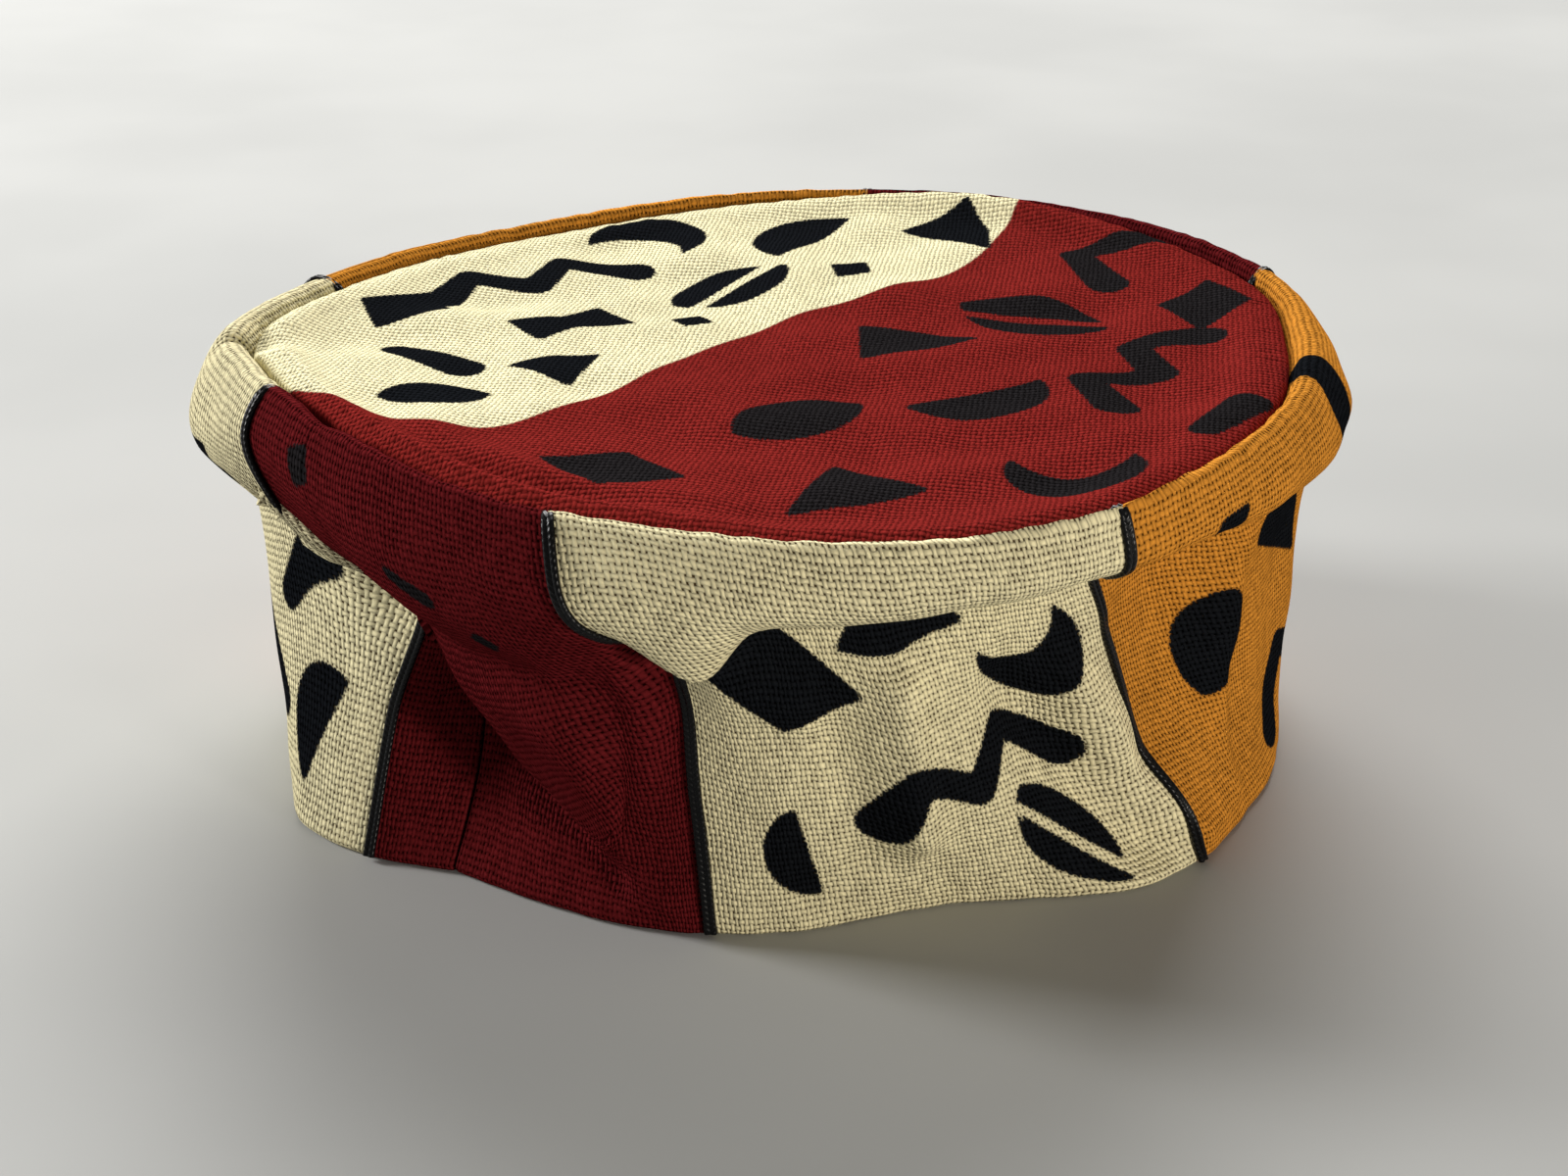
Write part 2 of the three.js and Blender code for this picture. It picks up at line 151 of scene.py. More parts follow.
class Fold(NamedTuple):
    """A soft fold of the standing wall, along a line.

    Heights are shares of SEAM_H; width and depth are in millimetres.
    """

    from_az: float
    from_z: float
    to_az: float
    to_z: float
    width: float
    depth: float


FOLDS = [
    Fold(-100, 0.65, -90, 0.58, 5, 2.2),    # shoulder right of the hanging flap
    Fold(-79, 0.61, -75, 0.26, 6, 2.4),     # upright ridge in the middle of the front
    Fold(-89, 0.47, -86, 0.13, 8, -1.8),    # hollow beside it
    Fold(-66, 0.55, -46, 0.05, 7, -3.0),    # slanting valley towards the front right hem
    Fold(-42, 0.70, -43, 0.26, 7, -2.5),    # hollow behind the front right braid
    Fold(-30, 0.68, -34, 0.05, 6, 2.2),     # upright ridge at the right
    Fold(-17, 0.60, -15, 0.18, 8, -1.5),    # hollow beyond it
]

# Sharper folds that the cloth alone has
CREASES = [
    Fold(-144, 0.64, -114, 0.62, 7.0, -4.2),    # the flap falls in under the roll
    Fold(-124, 0.34, -105, 0.08, 4.0, 1.3),     # edge of the hanging flap, dying out towards the hem
    Fold(-133, 0.32, -112, 0.10, 4.0, -3.0),    # hollow under that edge
    Fold(-78, 0.62, -75, 0.22, 3.0, 1.5),       # crest of the upright ridge in the middle of the front
    Fold(-85, 0.52, -81, 0.18, 4.0, -1.6),      # hollow beside it
    Fold(-65, 0.56, -44, 0.04, 3.5, -2.0),      # bottom of the slanting valley
    Fold(-57, 0.56, -38, 0.06, 3.0, 1.6),       # its raised right edge
    Fold(-49, 0.62, -43, 0.30, 5.0, -2.2),      # bottom of the hollow behind the front right braid
    Fold(-31, 0.60, -29, 0.10, 3.0, 1.4),       # crest of the upright ridge at the right
]


class EdgePuff(NamedTuple):
    """A part of the crown's edge that puffs up, or with a negative rise sinks in."""

    az: float       # its middle and half its reach, in degrees
    reach: float
    out: float      # its middle and half its width, as shares of the way out from the crown's middle
    width: float
    rise: float     # in millimetres

    def at(self, az: Array, out: Array) -> Array:
        """The rise at these azimuths and shares of the way out, in millimetres."""
        turn = (az - self.az + 180) % 360 - 180
        return self.rise * bell(turn, 0, self.reach) * bell(out, self.out, self.width)


EDGE_PUFFS = [
    EdgePuff(62, 24, 0.962, 0.045, 3.2),      # back right: hides the band behind it
    EdgePuff(-134, 25, 0.958, 0.026, 2.2),    # front left: the ridge beside the seam,
    EdgePuff(-126, 17, 0.900, 0.024, -1.6),   # the valley beside it,
    EdgePuff(-122, 17, 0.840, 0.034, 1.7),    # and a softer second ridge
    EdgePuff(-80, 34, 0.962, 0.030, 1.2),     # front: the crown swells over the roll
    EdgePuff(178, 20, 0.955, 0.030, 1.4),     # left: a swelling either side of the pinch
    EdgePuff(182, 3.5, 0.965, 0.050, -2.4),   # the pinch itself
]


class Dye(Enum):
    """The three grounds of the printed cloth."""

    CREAM = 0
    RED = 1
    OCHRE = 2


# The braids, each over a colour change: its azimuth on the crown seam, and the dye of the panel after it
BRAIDS = {
    "braid_left": (-160.0, Dye.RED),
    "braid_front_left": (-114.0, Dye.CREAM),
    "braid_front_right": (-60.0, Dye.OCHRE),
    "braid_right": (20.0, Dye.RED),
    "braid_back": (80.0, Dye.OCHRE),
    "braid_back_left": (159.0, Dye.CREAM),
}

# The crown's red part ends along this line, and then goes round outside the crown, in millimetres
CROWN_EDGE = [
    (52, 86), (38.8, 56.2), (27.9, 40.8), (17.8, 32.4), (8.1, 27.8), (-1.4, 19.1), (-19.3, -2.8),
    (-35.4, -26.8), (-50.5, -42.6), (-66.9, -42.5), (-86, -29.8),
]
CROWN_OUTSIDE = [(-120, -20), (-120, -140), (140, -140), (140, 140), (75, 120)]


def smooth(x: Array, low: float, high: float) -> Array:
    """0 below low, 1 above high, and a smooth rise between them."""
    t = np.clip((x - low) / (high - low), 0.0, 1.0)
    return t * t * (3 - 2 * t)


def bell(x: Array, middle: float, width: float) -> Array:
    """1 at the middle, falling off smoothly to 0.37 at one width from it."""
    return np.exp(-((x - middle) / width) ** 2)


def polar(az: Array, r: Array, z: Array) -> Array:
    """Points from azimuth in degrees, radius and height, as (..., 3)."""
    a = np.radians(az)
    return np.stack(np.broadcast_arrays(r * np.cos(a), r * np.sin(a), z), axis=-1)


def unit(v: Array) -> Array:
    """The vectors at length 1."""
    return v / np.maximum(np.linalg.norm(v, axis=-1, keepdims=True), 1e-9)


def run_length(points: Array) -> Array:
    """How far along the lines that run down the first axis each point lies."""
    steps = np.linalg.norm(np.diff(points, axis=0), axis=-1)
    return np.concatenate([np.zeros_like(steps[:1]), np.cumsum(steps, axis=0)])


def from_place(along: Array, place: float) -> Array:
    """How far along the band's cloth lies from a place on it, the shorter way round, in millimetres."""
    return (along - place + BAND_LENGTH / 2) % BAND_LENGTH - BAND_LENGTH / 2


def beside_line(x: Array, y: Array, start: Sequence[float], end: Sequence[float]) -> tuple[Array, Array]:
    """Measures points against a straight line.

    Args:
        x: the points' places across.
        y: their places up.
        start: the line's first point.
        end: its last point.

    Returns:
        How far along the line each point's nearest place is, 0 to 1, and how far away that place is.
    """
    run, rise = end[0] - start[0], end[1] - start[1]
    t = np.clip(((x - start[0]) * run + (y - start[1]) * rise) / (run ** 2 + rise ** 2), 0, 1)
    return t, np.hypot(x - start[0] - t * run, y - start[1] - t * rise)


def catmull_rom(p0: Array, p1: Array, p2: Array, p3: Array, w: Array) -> Array:
    """A centripetal Catmull-Rom span.

    Args:
        p0: the points before the span, (..., 3).
        p1: the points at its start.
        p2: the points at its end.
        p3: the points after it.
        w: how far along the span, 0 to 1, one value for each point.

    Returns:
        The points on the span, (..., 3).
    """
    def knot(a: Array, b: Array) -> Array:
        """The knot distance between two points."""
        return np.maximum(((a - b) ** 2).sum(-1, keepdims=True) ** 0.25, 1e-4)
    d0, d1, d2 = knot(p0, p1), knot(p1, p2), knot(p2, p3)
    t1 = ((p1 - p0) / d0 - (p2 - p0) / (d0 + d1) + (p2 - p1) / d1) * d1
    t2 = ((p2 - p1) / d1 - (p3 - p1) / (d1 + d2) + (p3 - p2) / d2) * d1
    w = w[..., None]
    return p1 + t1 * w + (-3 * p1 + 3 * p2 - 2 * t1 - t2) * w ** 2 + (2 * p1 - 2 * p2 + t1 + t2) * w ** 3


def closed_curve(points: Array, share: Array) -> Array:
    """Points on a closed curve.

    Args:
        points: the curve's points, (n, 3).
        share: how far round, 0 to 1, (m,).

    Returns:
        The points, (m, 3).
    """
    n = len(points)
    p = share % 1.0 * n
    i = np.floor(p).astype(int)
    return catmull_rom(points[(i - 1) % n], points[i % n], points[(i + 1) % n], points[(i + 2) % n], p - i)


def open_curve(points: Array, share: Array) -> Array:
    """Points on curves that run through the first axis of points.

    Args:
        points: (n, ..., 3).
        share: how far along, 0 to 1, (m,).

    Returns:
        The points, (m, ..., 3).
    """
    n = len(points)
    p = share * (n - 1)
    i = np.minimum(np.floor(p).astype(int), n - 2)
    w = (p - i).reshape((-1,) + (1,) * (points.ndim - 2))
    ends = np.concatenate([[2 * points[0] - points[1]], points, [2 * points[-1] - points[-2]]])
    w = np.broadcast_to(w, (len(p),) + points.shape[1:-1])
    return catmull_rom(ends[i], ends[i + 1], ends[i + 2], ends[i + 3], w)


@dataclass(frozen=True)
class Ripples:
    """A gentle uneven surface: waves of several lengths and directions, always the same for one seed."""

    seed: int
    shortest: float
    longest: float
    count: int = 24

    def at(self, x: Array, y: Array) -> Array:
        """Finds the surface's height.

        Args:
            x: places across, in millimetres.
            y: places up, in millimetres.

        Returns:
            The heights, about -1 to 1.
        """
        rng = np.random.default_rng(self.seed)
        total = np.zeros_like(x)
        for _ in range(self.count):
            length = math.exp(rng.uniform(math.log(self.shortest), math.log(self.longest)))
            turn, phase = rng.uniform(0, math.pi), rng.uniform(0, math.tau)
            total += np.sin(math.tau * (x * math.cos(turn) + y * math.sin(turn)) / length + phase)
        return total / math.sqrt(self.count / 2) / 1.6


class CapForm:
    """The shape that the band, the crown and the braids share, in millimetres in the cap's own frame."""

    STEPS = 40    # fine steps between two levels, along which the cloth's length is measured

    def __init__(self) -> None:
        """Works out the level rings and the band's length along the crown seam."""
        self.levels = self._levels()
        self.start = SECTIONS[0].az
        self._az = np.linspace(-180.0, 180.0, 4 * 360 + 1)
        # the mean length of the seam, the roll, the wall and the hem
        rings = self.rings_at(self._az)[[1, 3, 7, 8]]
        steps = np.linalg.norm(np.diff(rings, axis=1), axis=2).mean(axis=0)
        self._along = np.concatenate([[0.0], np.cumsum(steps)])
        self._along *= BAND_LENGTH / self._along[-1]

    @staticmethod
    def _levels() -> Array:
        """Works out the sections' named levels.

        Returns:
            Their points, (9, sections, 3).
        """
        s = Section(*np.array(SECTIONS, float).T)
        seam_r, seam_z = s.seam_r * CROWN_R, s.seam_z * SEAM_H
        roll_r, roll_z = s.roll_r * CROWN_R, s.roll_z * SEAM_H
        lip_r, lip_z = s.lip_r * CROWN_R, s.lip_z * SEAM_H
        full_in = np.clip(FULL[1] + s.roll_z - s.lip_z - HANG_FROM, FULL[1], HANG_IN)
        return np.stack([
            polar(s.az, seam_r + GAP / 2, seam_z - SEAM_TURN),
            polar(s.az, seam_r + GAP / 2, seam_z - SEAM_ROUND),
            polar(s.az + CREST[0] * s.roll_turn, seam_r + CREST[1] * (roll_r - seam_r), seam_z + CREST_RISE),
            polar(s.az + s.roll_turn, roll_r, roll_z),
            polar(s.az + s.roll_turn + FULL[0] * (s.lip_turn - s.roll_turn),
                  roll_r - full_in * (roll_r - lip_r),
                  roll_z - FULL[2] * (roll_z - lip_z)),
            polar(s.az + s.lip_turn, lip_r, lip_z),
            polar(s.az + s.tuck_turn, s.tuck_r * CROWN_R, s.tuck_z * SEAM_H),
            polar(s.az + s.wall_turn, s.wall_r * CROWN_R, s.wall_z * SEAM_H),
            polar(s.az + s.hem_turn, s.hem_r * CROWN_R, np.zeros(len(SECTIONS))),
        ])

    def rings_at(self, az: Array) -> Array:
        """Finds each level at these azimuths.

        Args:
            az: azimuths on the crown seam.

        Returns:
            The points, (9, len(az), 3).
        """
        known = np.array([s.az for s in SECTIONS] + [self.start + 360])
        share = np.interp((az - self.start) % 360 + self.start, known, np.arange(len(known)) / len(SECTIONS))
        return np.stack([closed_curve(level, share) for level in self.levels])

    def along(self, az: Array) -> Array:
        """How far along the band's cloth an azimuth lies, counted from the band's end, in millimetres."""
        here = np.interp((np.asarray(az) + 180) % 360 - 180, self._az, self._along)
        return (here - np.interp(BAND_END_AZ, self._az, self._along)) % BAND_LENGTH

    def azimuth(self, along: Array) -> Array:
        """The azimuth on the crown seam of a place along the band's cloth."""
        here = (along + np.interp(BAND_END_AZ, self._az, self._along)) % BAND_LENGTH
        return np.interp(here, self._along, self._az)

    @staticmethod
    def fold(p: Array) -> Array:
        """Moves the wall in and out by its folds.

        Args:
            p: the band's points, (..., 3).

        Returns:
            The moved points.
        """
        per_degree = math.radians(WALL_R * CROWN_R)
        r, z = np.hypot(p[..., 0], p[..., 1]), p[..., 2]
        x = np.degrees(np.arctan2(p[..., 1], p[..., 0])) * per_degree
        depth = np.zeros_like(r)
        for f in FOLDS + CREASES:
            start = (f.from_az * per_degree, f.from_z * SEAM_H)
            end = (f.to_az * per_degree, f.to_z * SEAM_H)
            depth += f.depth * bell(beside_line(x, z, start, end)[1], 0, f.width)
        for room in (FOLD_TOP * SEAM_H - z, z, FOLD_REACH * CROWN_R - r):
            depth *= np.clip(room / FOLD_FADE, 0, 1)
        scale = 1 + depth / r
        return p * np.stack([scale, scale, np.ones_like(scale)], axis=-1)

    def face(self, az: Array, turned: Array, down: Array) -> Array:
        """The band's outer face.

        Args:
            az: the columns' azimuths on the crown seam.
            turned: rows of the turned-in seam allowance, 0 at its lower edge to 1 at the seam.
            down: rows from the seam, 0, to the hem, 1, as shares of each column's own length.

        Returns:
            The points, (rows, columns, 3).
        """
        rings = self.rings_at(az)
        t = np.linspace(0, 1, (len(rings) - 1) * self.STEPS + 1)
        fine = self.fold(open_curve(rings, t))
        length = run_length(fine)
        out = np.empty((len(turned) + len(down), len(az), 3))
        for c in range(len(az)):
            at = length[:, c]
            seam = at[self.STEPS]
            want = np.concatenate([turned * seam, seam + down * (at[-1] - seam)])
            for k in range(3):
                out[:, c, k] = np.interp(want, at, fine[:, c, k])
        return out


# The marks of the print, each about 2 units across, as signed distances that are positive inside

def polygon(points: Sequence[tuple[float, float]], soft: float = 0.0) -> Shape:
    """A filled outline.

    Args:
        points: the corners in order.
        soft: how far its corners are rounded out.

    Returns:
        Its signed distance.
    """
    def shape(x: Array, y: Array) -> Array:
        """Measures how far in from the outline points lie.

        Args:
            x: their places across.
            y: their places up.

        Returns:
            The distances.
        """
        best = np.full(x.shape, 1e9)
        inside = np.zeros(x.shape, bool)
        for (ax, ay), (bx, by) in zip(points, list(points[1:]) + [points[0]]):
            best = np.minimum(best, beside_line(x, y, (ax, ay), (bx, by))[1])
            if ay != by:
                crossing = (bx - ax) * (y - ay) / (by - ay) + ax
                inside ^= ((ay > y) != (by > y)) & (x < crossing)
        return np.where(inside, best, -best) + soft
    return shape


def stroke(points: Sequence[tuple[float, float, float]]) -> Shape:
    """A brush stroke with round ends.

    Args:
        points: its middle line, as (x, y, half width).

    Returns:
        Its signed distance.
    """
    def shape(x: Array, y: Array) -> Array:
        """Measures how far in from the stroke's edge points lie.

        Args:
            x: their places across.
            y: their places up.

        Returns:
            The distances.
        """
        best = np.full(x.shape, -1e9)
        for a, b in zip(points, points[1:]):
            t, away = beside_line(x, y, a, b)
            best = np.maximum(best, a[2] + t * (b[2] - a[2]) - away)
        return best
    return shape


def disc(cx: float, cy: float, r: float) -> Shape:
    """A round spot."""
    return lambda x, y: r - np.hypot(x - cx, y - cy)


def both(a: Shape, b: Shape) -> Shape:
    """Where two marks overlap."""
    return lambda x, y: np.minimum(a(x, y), b(x, y))


def without(a: Shape, b: Shape) -> Shape:
    """The first mark with the second cut out of it."""
    return lambda x, y: np.minimum(a(x, y), -b(x, y))


LEAF_SHAPE = both(disc(0, -0.55, 1.14), disc(0, 0.55, 1.14))


class Motif(Enum):
    """The plain shapes that the print is made of."""

    LOZENGE = "lozenge"
    TRIANGLE = "triangle"
    HALF_MOON = "half moon"
    CRESCENT = "crescent"
    LEAF = "leaf"
    SPLIT_LEAF = "split leaf"
    WAVE = "wave"
    CHEVRON = "chevron"
    BAR = "bar"
    HOURGLASS = "hourglass"
    DOT = "square dot"

    @property
    def shape(self) -> Shape:
        """The motif's signed distance."""
        return MOTIF_SHAPES[self]


MOTIF_SHAPES: dict[Motif, Shape] = {
    Motif.LOZENGE: polygon([(-1, 0.05), (-0.05, 0.70), (1, 0), (0.1, -0.68)], 0.05),
    Motif.TRIANGLE: polygon([(-1, -0.62), (-0.1, -0.74), (0.95, -0.52), (0.2, 0.82)], 0.04),
    Motif.HALF_MOON: both(disc(0, -0.35, 1.0), polygon([(-2, -0.35), (2, -0.2), (2, 2), (-2, 2)])),
    Motif.CRESCENT: without(disc(0, 0, 0.95), disc(0.16, -0.72, 0.86)),
    Motif.LEAF: LEAF_SHAPE,
    Motif.SPLIT_LEAF: without(LEAF_SHAPE, stroke([(-1.1, -0.32, 0.07), (1.1, 0.24, 0.12)])),
    Motif.WAVE: stroke([
        (-1.2, -0.3, 0.24), (-0.62, 0.3, 0.16), (-0.05, -0.25, 0.19), (0.5, 0.3, 0.15), (1.15, -0.2, 0.25)]),
    Motif.CHEVRON: stroke([(-0.95, -0.45, 0.28), (0.05, 0.42, 0.20), (0.95, -0.5, 0.30)]),
    Motif.BAR: stroke([(-0.8, 0, 0.30), (0.8, 0.08, 0.42)]),
    Motif.HOURGLASS: polygon([
        (-0.95, -0.62), (0, -0.24), (0.95, -0.56), (0.9, 0.62), (0, 0.26), (-0.9, 0.55)], 0.03),
    Motif.DOT: polygon([(-0.9, -1), (0.95, -0.9), (1, 0.95), (-0.85, 0.9)], 0.15),
}


class Mark(NamedTuple):
    """One printed mark."""

    motif: Motif
    x: float       # on the crown, its place in millimetres; on the band, its azimuth
    y: float       # and its share of the way down
    size: float    # half its width, in millimetres
    turn: float    # in degrees


def marks(places: dict[Motif, list[tuple[float, float, float, float]]]) -> list[Mark]:
    """The marks at these places, sizes and turns."""
    return [Mark(motif, *place) for motif, rows in places.items() for place in rows]


CROWN_MARKS = marks({
    Motif.LOZENGE: [(-74, 22, 12, 75), (79, 20, 12, 80), (-29, -62, 12, -18)],
    Motif.TRIANGLE: [(33, 70, 11, 95), (-41, -11, 9, 205), (20, 4, 12, 150), (8, -67, 12, 20)],
    Motif.HALF_MOON: [(2, 70, 14, 55), (33, -27, 14, 205)],
    Motif.CRESCENT: [(-30, 68, 13, -35), (45, -62, 12, 165)],
    Motif.LEAF: [(-62, -27, 10, 14), (1, -34, 14, 38)],
    Motif.SPLIT_LEAF: [(-12, 40, 15, 42), (46, 18, 16, -34)],
    Motif.WAVE: [(-52, 44, 18, 28), (62, -12, 18, 58)],
    Motif.CHEVRON: [(63, 50, 15, 62)],
    Motif.BAR: [(-66, -6, 10, -38), (73, -42, 10, 52)],
    Motif.HOURGLASS: [(-42, 16, 11, 35)],
    Motif.DOT: [(12, 49, 3.4, 10), (-19, 18, 3.0, 30)],
})

BAND_MARKS = marks({
    Motif.LOZENGE: [(-99, 0.46, 15, -12), (3, 0.52, 15, 60), (66, 0.26, 13, 75)],
    Motif.TRIANGLE: [
        (-84, 0.315, 12, 6), (-26, 0.40, 14, 100), (60, 0.62, 15, 20), (144, 0.24, 12, -20),
        (184, 0.30, 9, 200)],
    Motif.HALF_MOON: [(-101, 0.83, 10, 95), (-13, 0.13, 15, 80), (94, 0.62, 16, 10), (190, 0.82, 11, 62)],
    Motif.CRESCENT: [(-70, 0.45, 12, 190), (108, 0.20, 14, 12)],
    Motif.LEAF: [(-43, 0.58, 13, 66), (141, 0.68, 16, -50)],
    Motif.SPLIT_LEAF: [(-72, 0.86, 13, -62), (33, 0.70, 17, 34), (168, 0.40, 12, 40)],
    Motif.WAVE: [(-80, 0.68, 17, 10), (42, 0.36, 22, -12), (120, 0.50, 21, 14)],
    Motif.CHEVRON: [(-24, 0.80, 16, 15), (108, 0.86, 15, -8), (177, 0.72, 13, -20)],
    Motif.BAR: [
        (8, 0.83, 12, -12), (50, 0.88, 11, 8), (90, 0.30, 11, 60), (189, 0.60, 9, 38),
        (-134, 0.24, 4.5, -30)],
    Motif.DOT: [
        (-46, 0.17, 3.6, 0), (30, 0.16, 3.4, 0), (128, 0.84, 3.8, 0), (175, 0.13, 3.2, 0),
        (-150, 0.12, 2.6, 20), (-127, 0.34, 2.2, 40)],
})


class ClothPrint:
    """The printed cloth: where its dyes meet and where its black marks lie."""

    def __init__(self, form: CapForm) -> None:
        """Keeps the cap's shape, which places marks on the band."""
        self.form = form

    @staticmethod
    def mark(mark: Mark, x: Array, y: Array) -> Array:
        """How far inside a mark the points x, y lie, counted from the mark's middle, in millimetres."""
        c, s = math.cos(math.radians(mark.turn)), math.sin(math.radians(mark.turn))
        return mark.motif.shape((c * x + s * y) / mark.size, (c * y - s * x) / mark.size) * mark.size

    def on_crown(self, x: Array, y: Array) -> dict[str, Array]:
        """The crown's print.

        Args:
            x: places across the crown, in millimetres.
            y: places up it.

        Returns:
            For each mask, how far inside its area each point lies, in millimetres.
        """
        edge = open_curve(np.array([(a, b, 0) for a, b in CROWN_EDGE], float), np.linspace(0, 1, 60))
        red = polygon([(p[0], p[1]) for p in edge] + CROWN_OUTSIDE)(x, y)
        ink = np.max([self.mark(m, x - m.x, y - m.y) for m in CROWN_MARKS], axis=0)
        return {"red": red, "ochre": np.full(x.shape, -MASK_REACH), "ink": ink}

    def on_band(self, along: Array, down: Array) -> dict[str, Array]:
        """The band's print.

        Args:
            along: places along the band's cloth, in millimetres.
            down: shares of the way down it.

        Returns:
            For each mask, how far inside its area each point lies, in millimetres.
        """
        masks = {name: np.full(along.shape, -MASK_REACH) for name in ("red", "ochre", "ink")}
        panels = list(BRAIDS.values())
        for (az, dye), (next_az, _) in zip(panels, panels[1:] + panels[:1]):
            if dye is not Dye.CREAM:
                name, start = dye.name.lower(), self.form.along(az)
                half = (self.form.along(next_az) - start) % BAND_LENGTH / 2
                masks[name] = np.maximum(masks[name], half - np.abs(from_place(along, start + half)))
        for m in BAND_MARKS:
            x = from_place(along, self.form.along(m.x))
            masks["ink"] = np.maximum(masks["ink"], self.mark(m, x, (m.y - down) * BAND_DEPTH))
        return masks


class Nodes:
    """Short ways to add nodes to one tree."""

    def __init__(self, tree: bpy.types.NodeTree) -> None:
        """Keeps the tree."""
        self.tree = tree

    def add(self, kind: str, inputs: dict | None = None, **settings: object) -> Node:
        """Adds a node.

        Args:
            kind: the node's type.
            inputs: for some of its inputs, by name or number, a value or the socket that feeds it.
            settings: the node's own properties.

        Returns:
            The node.
        """
        node = self.tree.nodes.new(kind)
        for name, value in settings.items():
            setattr(node, name, value)
        self.feed(node, inputs or {})
        return node

    def feed(self, node: Node, inputs: dict) -> None:
        """Gives a node its inputs.

        Args:
            node: the node.
            inputs: by name or number, a value or the socket that feeds it.
        """
        for key, value in inputs.items():
            if isinstance(value, Socket):
                self.tree.links.new(value, node.inputs[key])
            else:
                node.inputs[key].default_value = value

    def math(self, operation: str, *values: object) -> Socket:
        """The result of a Math node on these values or sockets."""
        return self.add("ShaderNodeMath", dict(enumerate(values)), operation=operation).outputs[0]

    def vector(self, operation: str, inputs: dict) -> Socket:
        """The result of a Vector Math node on these inputs."""
        return self.add("ShaderNodeVectorMath", inputs, operation=operation).outputs[0]

    def blend(self, factor: object, a: object, b: object) -> Socket:
        """A colour from a at factor 0 to b at factor 1."""
        return self.add("ShaderNodeMix", {0: factor, 6: a, 7: b}, data_type="RGBA").outputs[2]

    def ramp(self, value: object, low: float, high: float) -> Socket:
        """0 where value is under low, 1 over high, and smooth between them."""
        inputs = {0: value, 1: low, 2: high, 3: 0.0, 4: 1.0}
        return self.add("ShaderNodeMapRange", inputs, interpolation_type="SMOOTHSTEP").outputs[0]

    def noise(self, vector: object, scale: float, detail: float) -> Socket:
        """A noise texture's value, about 0 to 1."""
        inputs = {"Vector": vector, "Scale": scale, "Detail": detail}
        return self.add("ShaderNodeTexNoise", inputs).outputs["Fac"]

    def bump(self, height: Socket, distance: float) -> Socket:
        """The normal of a surface raised by this height, where 1 is this many metres."""
        inputs = {"Strength": 1.0, "Distance": distance, "Height": height}
        return self.add("ShaderNodeBump", inputs).outputs[0]

    def surface(self, colour: Socket, roughness: object, specular: float, **inputs: object) -> None:
        """Adds the material's Principled BSDF and its output.

        Args:
            colour: the base colour.
            roughness: its value or socket.
            specular: the level of its reflection, 0 to 1.
            inputs: any other inputs, by name.
        """
        named = {"Base Color": colour, "Roughness": roughness, "Specular IOR Level": specular, **inputs}
        shader = self.add("ShaderNodeBsdfPrincipled", named)
        self.add("ShaderNodeOutputMaterial", {"Surface": shader.outputs[0]})


def new_material(name: str) -> tuple[Material, Nodes]:
    """Starts a material with no nodes in it.

    Args:
        name: the material's name.

    Returns:
        The material and its nodes.
    """
    material = bpy.data.materials.new(name)
    material.use_nodes = True
    material.node_tree.nodes.clear()
    return material, Nodes(material.node_tree)


def new_group(name: str, inputs: dict[str, str],
              outputs: dict[str, str]) -> tuple[Nodes, dict, Node]:
    """Starts a shader node group.

    Args:
        name: the group's name.
        inputs: its inputs' names and socket types.
        outputs: its outputs' names and socket types.

    Returns:
        The group's nodes, its inputs as sockets by name, and its output node.
    """
    tree = bpy.data.node_groups.new(name, "ShaderNodeTree")
    for key, kind in inputs.items():
        tree.interface.new_socket(key, in_out="INPUT", socket_type=kind)
    for key, kind in outputs.items():
        tree.interface.new_socket(key, in_out="OUTPUT", socket_type=kind)
    nodes = Nodes(tree)
    start = nodes.add("NodeGroupInput")
    return nodes, {key: start.outputs[key] for key in inputs}, nodes.add("NodeGroupOutput")


